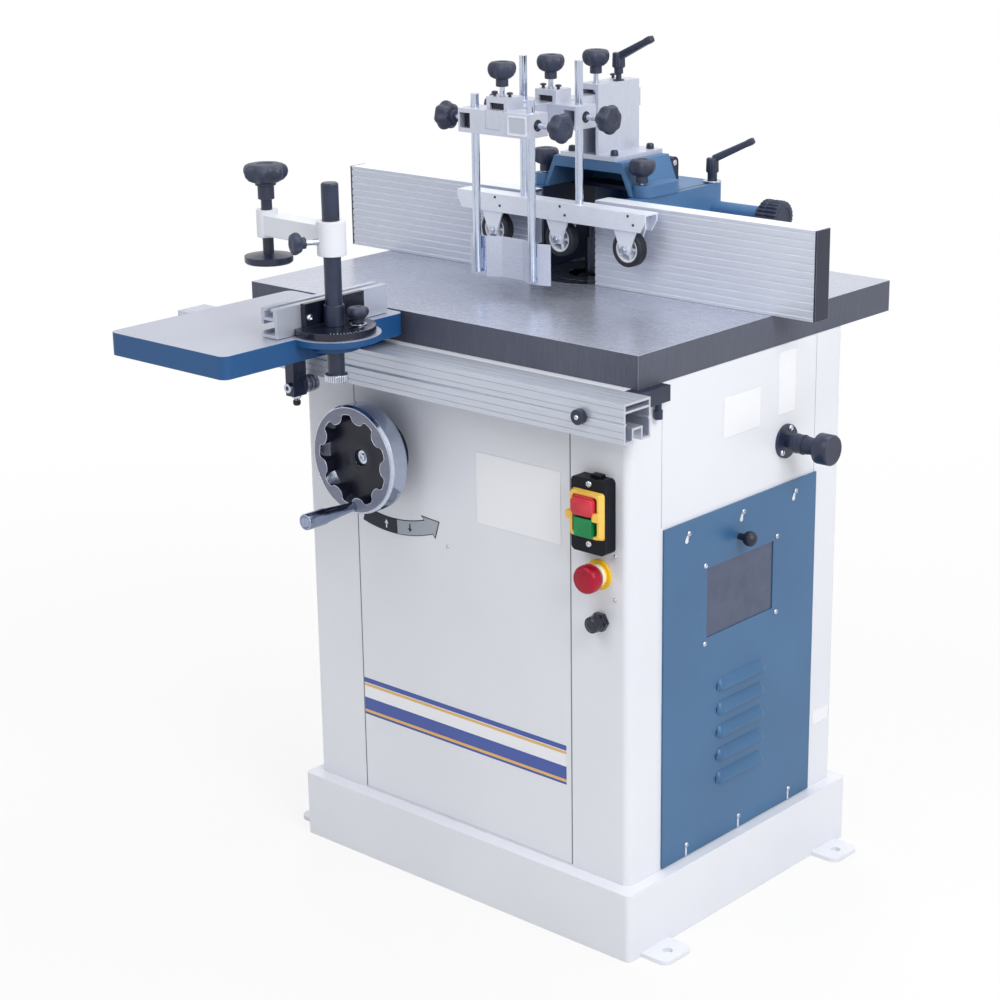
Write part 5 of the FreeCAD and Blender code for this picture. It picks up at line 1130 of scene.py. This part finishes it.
pressWheel = {
    "y": 51.0, "z": 929.8, "xs": (-188.5, -60.2, 68.1), "spokes": 5, "steps": 64, "hubSteps": 40, "nutSides": 6,
    "tyre": [(19.6, -7.6), (20.4, -8.3), (24.2, -8.5), (26.2, -7.0), (26.5, -4.0), (26.0, -1.2), (26.0, 1.2),
             (26.5, 4.0), (26.2, 7.0), (24.2, 8.5), (20.4, 8.3), (19.6, 7.6)],
    "rim": [(16.4, -6.0), (17.2, -6.9), (19.7, -7.2), (19.7, 7.2), (17.2, 6.9), (16.4, 6.0)],
    "hub": [(4.3, -8.4), (6.6, -8.0), (7.2, -6.8), (7.2, 6.8), (6.6, 8.0), (4.3, 8.4)],
    "spoke": [(6.6, -2.2), (17.2, -1.7), (17.2, 1.7), (6.6, 2.2)], "spokeHalf": 5.0, "spokeBevel": 0.5,
    "nutY": 39.0, "nut": [(0.0, 0.0), (6.0, 0.0), (6.0, 3.2), (5.2, 3.8), (3.2, 3.8), (3.0, 4.6), (0.0, 4.6)],
}


def buildPressWheel(number, x):
    body = "press_roller_%d" % number
    middle = (x, pressWheel["y"], pressWheel["z"])
    piece = turnPiece(body + ".tyre", body, "blackRubber", [
        (pressWheel["tyre"], middle, outFront, pressWheel["steps"], True)], smoothing["soft"])
    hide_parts(body)
    parts = [(addLathe, pressWheel["rim"], middle, outFront, pressWheel["steps"], True),
             (addLathe, pressWheel["hub"], middle, outFront, pressWheel["hubSteps"], True)]
    half = pressWheel["spokeHalf"]
    for spoke in range(pressWheel["spokes"]):
        angle = 2 * math.pi * spoke / pressWheel["spokes"]
        away = Vector((math.cos(angle), math.sin(angle)))
        along = Vector((-away.y, away.x))
        outline = [tuple(away * r + along * w) for r, w in pressWheel["spoke"]]
        parts.append((addSlab, outline, discPlane(*middle), -half, half, pressWheel["spokeBevel"]))
    makePiece(body + ".hub", body, "armWhite", parts, smoothing["round"])


for number, x in enumerate(pressWheel["xs"]):
    buildPressWheel(number + 1, x)
turnPiece("axleNuts", "roller_bar", "brightSteel", [
    (pressWheel["nut"], (x, pressWheel["nutY"], pressWheel["z"]), outFront, pressWheel["nutSides"])
    for x in pressWheel["xs"]])

# the holders' pocket, with a painted highlight on its rim; painted shade: dark sheets in the windows and dark rings at
# the screw holes
holder = {
    "face": -76.5, "outer": (-50.5, -15.0, 1098.0, 1126.0, 2.0), "inner": (-48.3, -17.2, 1101.0, 1123.4, 1.5),
    "proud": 1.2, "floor": 0.3, "shade": 1.0, "holeSteps": 36,
    "shades": {  # left, right, low, high, and the plane that each stands on
        "front_holder": [(-143.0, -124.0, 1101.3, 1122.3, -65.0), (-93.0, -67.0, 1130.7, 1139.0, -62.0)],
        "rear_holder": [(-93.0, -67.0, 1130.7, 1139.0, 44.0)],
    },
    "ys": {"front_holder": -54.5, "rear_holder": 51.0}, "z": 1111.8, "ends": ((-13.5, outRight), (-146.5, outLeft)),
    # painted shade: a dark ring round each side screw where it enters the holder
    "hole": [(5.3, 0.0), (8.4, 0.0), (8.4, 0.35), (5.3, 0.35)],
}


def buildHolders():
    spot, inner = frontPlane(holder["face"]), roundRect(*holder["inner"])
    # painted highlight: a thin bright frame round the pocket, standing in for its lit inner walls
    makePiece("pocketRim", "front_holder", "paintedWallHighlight", [
        (addLoop, roundRect(*holder["outer"]), inner, spot, 0.0, holder["proud"])])
    makePiece("pocketFloor", "front_holder", "fenceFace", [
        (addSlab, inner, spot, 0.0, holder["floor"])])
    # painted shade: dark sheets behind the windows and dark rings at the screw holes, in the dish black
    for body, shades in holder["shades"].items():
        parts = [(addSlab, plainRect(*edges), frontPlane(y), 0.0, holder["shade"]) for *edges, y in shades]
        parts += [(addLathe, holder["hole"], (x, holder["ys"][body], holder["z"]), axis, holder["holeSteps"], True)
                  for x, axis in holder["ends"]]
        makePiece("openings." + body, body, "dishBlack", parts)


buildHolders()
print("pressure device dressed")

# knobs: soft lobed grips on their hubs, with steel screws
grip = {
    "steps": 84, "hubFoot": 0.9, "hubRound": 0.6, "screwRound": 0.8, "screwIn": 0.1, "screwSteps": 24,
    "head": [  # share of the radius, share of the height, dip between lobes
        (0.42, 0.0, 0.0), (0.58, 0.02, 0.02), (0.80, 0.14, 0.10), (0.95, 0.34, 0.15), (1.0, 0.54, 0.16),
        (0.985, 0.72, 0.15), (0.91, 0.88, 0.11), (0.78, 0.97, 0.05), (0.62, 1.0, 0.01), (0.38, 1.0, 0.0),
        (0.34, 0.95, 0.0), (0.0, 0.95, 0.0)],
}
armLock = {"turn": math.radians(248.0), "middle": (-105.0, -375.0, 987.5), "away": 38.3}
leanOut = (math.cos(armLock["turn"]), math.sin(armLock["turn"]), 0.0)
lockFoot = tuple(Vector(armLock["middle"]) + armLock["away"] * Vector(leanOut))
# node, lobes, foot of each hub and its axis, then radius and length of screw, hub and head
knobs = [
    ("front_top_knob", 6, [((-80.0, -54.5, 1161.8), outUp)], (3.8, 31.2), (9.0, 11.0), (21.3, 24.0)),
    ("rear_top_knob", 6, [((-80.0, 51.0, 1161.8), outUp)], (3.8, 31.2), (9.0, 11.0), (21.3, 24.0)),
    ("tower_knob", 6, [((-80.0, 153.3, 1159.3), outUp)], (3.8, 28.7), (9.0, 11.0), (21.3, 24.0)),
    ("hood_knob_left", 6, [((-174.0, 146.3, 1006.3), outUp)], (3.8, 20.7), (9.0, 11.0), (21.3, 24.0)),
    ("hood_knob_right", 6, [((14.0, 146.3, 1006.3), outUp)], (3.8, 20.7), (9.0, 11.0), (21.3, 24.0)),
    ("front_side_knobs", 7, [((10.5, -54.5, 1111.8), outRight), ((-170.5, -54.5, 1111.8), outLeft)], (4.2, 30.7),
     (9.0, 6.0), (21.8, 23.0)),
    ("rear_side_knobs", 7, [((10.5, 51.0, 1111.8), outRight), ((-170.5, 51.0, 1111.8), outLeft)], (4.2, 30.7),
     (9.0, 6.0), (21.8, 23.0)),
    ("hold_knob", 7, [((-232.5, -375.0, 1049.0), outUp)], (11.5, 19.0), (14.5, 4.0), (32.0, 26.0)),
    ("arm_lock_knob", 6, [(lockFoot, leanOut)], (4.0, 26.0), (8.0, 6.0), (16.0, 14.0)),
    ("mitre_knob", 6, [((-83.0, -352.0, 872.3), outUp)], (3.5, 12.0), (7.5, 6.0), (16.0, 16.0)),
]


def buildKnob(node, lobes, places, screw, hub, head):
    radius, length = screw
    trim, sunk = grip["screwRound"], grip["screwIn"]
    rows = [(0.0, 0.0), (grip["hubFoot"] * hub[0], 0.0), (hub[0], grip["hubRound"]), hub]
    rows += [(head[0] * r, hub[1] + head[1] * h, dip) for r, h, dip in grip["head"]]
    rod = [(0.0, -length), (radius - trim, -length), (radius, trim - length), (radius, sunk), (0.0, sunk)]
    piece = turnPiece(node + ".grip", node, "gripPlastic", [
        (rows, place, axis, grip["steps"], False, lobes) for place, axis in places], smoothing["grip"])
    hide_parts(node)
    black = node == "hold_knob"  # its sleeve is the grip's own
    turnPiece(node + ".screw", node,
              "gripPlastic" if black else "brightSteel", [
                  (rod, place, axis, grip["screwSteps"]) for place, axis in places])


for knob in knobs:
    buildKnob(*knob)

# clamp levers: a ribbed barrel on a neck, with a flat arm that narrows outwards
lever = {
    "rise": 26.0, "root": 34.6, "ribs": 14, "steps": 84, "capSteps": 36,
    "washer": [(0.0, 0.0), (13.4, 0.0), (14.0, 0.5), (14.0, 2.5), (13.4, 3.0), (0.0, 3.0)],
    "shaft": [(0.0, 0.0), (8.4, 0.0), (8.4, 1.4), (4.2, 1.8), (4.2, 11.0), (0.0, 11.0)],
    "neck": [(0.0, 2.8), (7.0, 2.8), (7.4, 3.4), (7.4, 14.4)],
    "thinNeck": [(0.0, 10.0), (6.3, 10.0), (6.8, 10.8), (6.8, 18.4)],
    "barrel": [(8.6, 0.6), (9.6, 1.6, 0.05), (10.0, 2.6, 0.09), (9.5, 21.0, 0.09), (8.8, 22.2, 0.03), (7.6, 22.8),
               (4.6, 22.8), (4.4, 21.6), (0.0, 21.6)],
    "cap": [(0.0, 0.0), (4.2, 0.0), (4.2, 1.6), (3.6, 2.2), (2.2, 2.2), (1.9, 0.9), (0.0, 0.9)],
    "arm": [(3.0, 6.6, 5.7), (14.0, 6.6, 5.6), (40.0, 6.2, 5.1), (57.0, 6.0, 4.8), (61.0, 6.0, 5.3), (67.5, 5.8, 5.3),
            (70.4, 4.8, 4.4), (71.3, 3.2, 3.0)],  # reach, half width and half depth
    "sides": 32, "square": 0.42,
}
levers = [  # node, foot, turn of the arm, what it stands on, its neck, and whether the foot is bright
    ("tower_lever", (-69.0, 193.3, 1145.6), 0.0, "shaft", "thinNeck", False),
    ("base_lever", (18.0, 312.8, 985.3), 25.0, "washer", "neck", True),
]


def addArm(shape, foot, turn):
    # the arm's rows of points, nearly square, from its root outwards
    rise = math.radians(lever["rise"])
    level = Vector((math.cos(math.radians(turn)), math.sin(math.radians(turn)), 0.0))
    along = math.cos(rise) * level + math.sin(rise) * Vector(outUp)
    over = math.cos(rise) * Vector(outUp) - math.sin(rise) * level
    across = Vector(outUp).cross(level)
    rows = []
    for reach, wide, deep in lever["arm"]:
        row = []
        for number in range(lever["sides"]):
            angle = 2 * math.pi * number / lever["sides"]
            u, v = math.cos(angle), math.sin(angle)
            u = math.copysign(abs(u) ** lever["square"], u) * wide
            v = math.copysign(abs(v) ** lever["square"], v) * deep
            spot = Vector(foot) + lever["root"] * Vector(outUp) + reach * along + v * over + u * across
            row.append(shape.verts.new(spot * mm))
        rows.append(row)
    joinRows(shape, rows)
    shape.faces.new(rows[-1])
    shape.faces.new(rows[0][::-1])


def buildLever(node, foot, turn, standing, neck, bright):
    top = lever[neck][-1][1]
    stack = [(radius, top + height, *dip) for radius, height, *dip in lever["barrel"]]
    capFoot = top + lever["barrel"][-1][1]
    cap = [(radius, height + capFoot) for radius, height in lever["cap"]]
    stand = [(addLathe, lever[standing], foot, outUp)]
    piece = makePiece(node + ".grip", node, "gripPlastic", [
        (addLathe, lever[neck] + stack, foot, outUp, lever["steps"], False, lever["ribs"]), (addArm, foot, turn),
    ] + ([] if bright else stand), smoothing["round"])
    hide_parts(node)
    makePiece(node + ".screw", node, "brightSteel", (stand if bright else []) + [
        (addLathe, cap, foot, outUp, lever["capSteps"])])


for settings in levers:
    buildLever(*settings)

adjust = {"place": (115.0, 304.8, 947.3), "ribs": 24, "steps": 144, "screwSteps": 24, "profile": [
    (0.0, 0.0), (14.0, 0.0), (14.6, 0.6), (14.6, 7.0), (21.5, 8.0), (24.0, 9.0, 0.06), (25.0, 10.5, 0.12),
    (25.0, 20.0, 0.12), (23.6, 21.0, 0.05), (23.6, 22.6, 0.05), (25.0, 23.6, 0.12), (25.0, 40.0, 0.12),
    (23.4, 43.0, 0.06), (20.0, 44.5), (15.0, 44.5), (14.2, 43.0), (0.0, 43.0)],
    "screw": [(0.0, -37.0), (5.0, -37.0), (5.0, 0.2), (0.0, 0.2)]}


def buildAdjustKnob():
    piece = turnPiece("adjust_knob.grip", "adjust_knob", "gripPlastic", [
        (adjust["profile"], adjust["place"], outRight, adjust["steps"], False, adjust["ribs"])], smoothing["round"])
    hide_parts("adjust_knob")
    turnPiece("adjust_knob.screw", "adjust_knob", "brightSteel", [
        (adjust["screw"], adjust["place"], outRight, adjust["screwSteps"])])


buildAdjustKnob()
print("knobs and levers dressed")

# small fittings on the sliding table, the rail and the fence
blockBolt = {"place": (-248.5, -332.0, 748.7), "steps": 36, "profile": [
    (0.0, 0.0), (7.3, 0.0), (7.3, 4.6), (6.4, 5.4), (3.4, 5.4), (3.2, 3.6), (0.0, 3.4)]}
setScrew = {"place": (-248.5, -319.5, 735.7), "nutSides": 6, "tipSteps": 24, "nut": [
    (0.0, 0.0), (7.0, 0.0), (7.0, -3.8), (6.2, -4.6), (4.3, -4.6), (4.3, -9.0), (0.0, -9.0)],
    "tip": [(0.0, -8.0), (5.4, -8.0), (5.6, -9.0), (5.6, -13.0), (4.2, -15.2), (0.0, -15.2)]}
rollerFace = {"place": (-248.5, -306.7, 748.7), "ring": [(5.2, 0.25), (5.2, -0.5), (9.8, -0.5), (9.8, 0.25)],
              "grooves": (-6.0, -13.0), "grooveReach": (13.04, 13.2), "grooveWide": 1.4, "steps": 36}
mitreMarks = {"middle": (-105.0, -375.0), "inners": (49.0, 51.5), "outer": 56.0, "half": 0.35, "first": -50.0,
              "step": 5.0, "count": 21, "top": 870.0, "proud": 0.08}
hinge = {
    "y": 258.3, "z": 1019.0, "middle": -80.0, "away": 48.0, "barrelHalf": 11.0, "gap": 0.3, "lug": 8.4, "radius": 9.4,
    "low": 985.6, "steps": 16, "pinSteps": 32, "sleeve": [(9.05, -10.9), (9.45, -10.5), (9.45, 10.5), (9.05, 10.9)],
    "pin": [(0.0, 0.0), (4.4, 0.0), (4.4, 0.9), (3.9, 1.3), (0.0, 1.3)],
}
railLines = {"xs": (-531.6, 339.6), "top": 816.0, "ys": (-291.5, -285.0, -272.0, -258.0, -250.0), "half": 0.45,
             "front": -296.0, "zs": (809.0, 798.0, 778.5, 769.0), "proud": 0.06}
postNut = {"place": (-105.0, -375.0, 791.0), "ribs": 30, "steps": 120, "profile": [
    (15.55, 0.2), (16.3, 1.0, 0.05), (16.5, 2.0, 0.06), (16.5, 8.6, 0.06), (16.3, 9.6, 0.05), (15.55, 10.3)]}
postCollar = {"place": (-105.0, -375.0, 870.0), "steps": 60, "ring": [
    (11.9, 0.4), (14.2, 0.4), (14.2, 28.4), (13.6, 29.0), (11.9, 29.0)]}
baseSlit = {"edges": (15.6, 20.4, 222.0, 302.0), "top": 985.0, "proud": 0.2}
mitreWasher = {"place": (-83.0, -352.0, 870.0), "ring": [
    (9.2, 0.4), (12.4, 0.4), (12.4, 1.4), (11.8, 1.8), (9.2, 1.8)]}


def buildSlideFittings():
    turnPiece("blockBolts", "sliding_table", "brightSteel", [
        (blockBolt["profile"], blockBolt["place"], outFront, blockBolt["steps"]),
        (setScrew["nut"], setScrew["place"], outUp, setScrew["nutSides"])])
    turnPiece("setScrewTip", "sliding_table", "blackRubber", [
        (setScrew["tip"], setScrew["place"], outUp, setScrew["tipSteps"])])
    grooves = [plainRect(*rollerFace["grooveReach"], groove, groove - rollerFace["grooveWide"])
               for groove in rollerFace["grooves"]]
    turnPiece("rollerSeal", "guide_roller", "blackPlastic", [
        (rollerFace["ring"], rollerFace["place"], outFront, rollerFace["steps"], True)] + [
        (groove, rollerFace["place"], outFront, usualSteps, True) for groove in grooves])
    turnPiece("postNutRibs", "hold_post", "brightSteel", [
        (postNut["profile"], postNut["place"], outUp, postNut["steps"], True, postNut["ribs"])])
    turnPiece("postCollar", "hold_post", "blackSteel", [
        (postCollar["ring"], postCollar["place"], outUp, postCollar["steps"], True)], smoothing["round"])


def buildLines():
    # painted shade: a dark strip on the fence base's top where the slit is
    makePiece("baseSlit", "fence_base", "dishBlack", [
        (addSlab, plainRect(*baseSlit["edges"]), topPlane(baseSlit["top"]), 0.0, baseSlit["proud"])])
    turnPiece("mitreWasher", "mitre_knob", "brightSteel", [
        (mitreWasher["ring"], mitreWasher["place"], outUp, usualSteps, True)])
    # painted shade: darker grey lines on the rail's top and front, standing in for the shade in its grooves and lip
    half = railLines["half"]
    makePiece("railLines", "frame", "decalGrey", [
        (addSlab, plainRect(*railLines["xs"], middle - half, middle + half), plane, 0.0, railLines["proud"])
        for middles, plane in (("ys", topPlane(railLines["top"])), ("zs", frontPlane(railLines["front"])))
        for middle in railLines[middles]])
    marks = []
    middle = Vector(mitreMarks["middle"])
    for number in range(mitreMarks["count"]):
        angle = math.radians(mitreMarks["first"] + mitreMarks["step"] * number)
        away = Vector((math.cos(angle), math.sin(angle)))
        along = Vector((-away.y, away.x)) * mitreMarks["half"]
        inner = middle + away * mitreMarks["inners"][number % 2]  # every other mark is longer
        outer = middle + away * mitreMarks["outer"]
        outline = [tuple(p) for p in (inner - along, outer - along, outer + along, inner + along)]
        marks.append((addSlab, outline, topPlane(mitreMarks["top"]), 0.0, mitreMarks["proud"]))
    makePiece("mitreMarks", "mitre", "decalBright", marks)


def lugOutline():
    # a lug with a round top, in y and z
    y, radius = hinge["y"], hinge["radius"]
    return [(y - radius, hinge["low"]), (y + radius, hinge["low"])] + arcPoints(
        y, hinge["z"], radius, 0.0, 180.0, hinge["steps"])


def buildHinge():
    lugs, pins, sleeves = [], [], []
    for side in (-1, 1):
        middle = hinge["middle"] + side * hinge["away"]
        sleeves.append((hinge["sleeve"], (middle, hinge["y"], hinge["z"]), outRight, usualSteps, True))
        for end, axis in ((-1, outLeft), (1, outRight)):
            inner = middle + end * (hinge["barrelHalf"] + hinge["gap"])
            outer = inner + end * hinge["lug"]
            lugs.append((addSlab, lugOutline(), rightPlane(0.0), min(inner, outer), max(inner, outer)))
            pins.append((hinge["pin"], (outer, hinge["y"], hinge["z"]), axis, hinge["pinSteps"]))
    turnPiece("hingeSleeves", "hood", "blackSteel", sleeves)
    makePiece("hingeLugs", "fence_base", "blackSteel", lugs)
    turnPiece("hingePins", "fence_base", "milledAluminium", pins)


buildSlideFittings()
buildLines()
buildHinge()
loneScrews = [  # name, size, place, facing, body
    ("bracketScrew", 1.25, (-123.0, -405.0, 883.0), outRight, "mitre"),
    ("bumperScrew", 0.9, (268.0, -305.0, 789.0), outFront, "frame"),
]
for name, size, place, facing, body in loneScrews:
    setHeads(name, "button", size, [(place, facing)], body)
print("fittings dressed")

for head in heads.values():
    bpy.data.objects.remove(head)
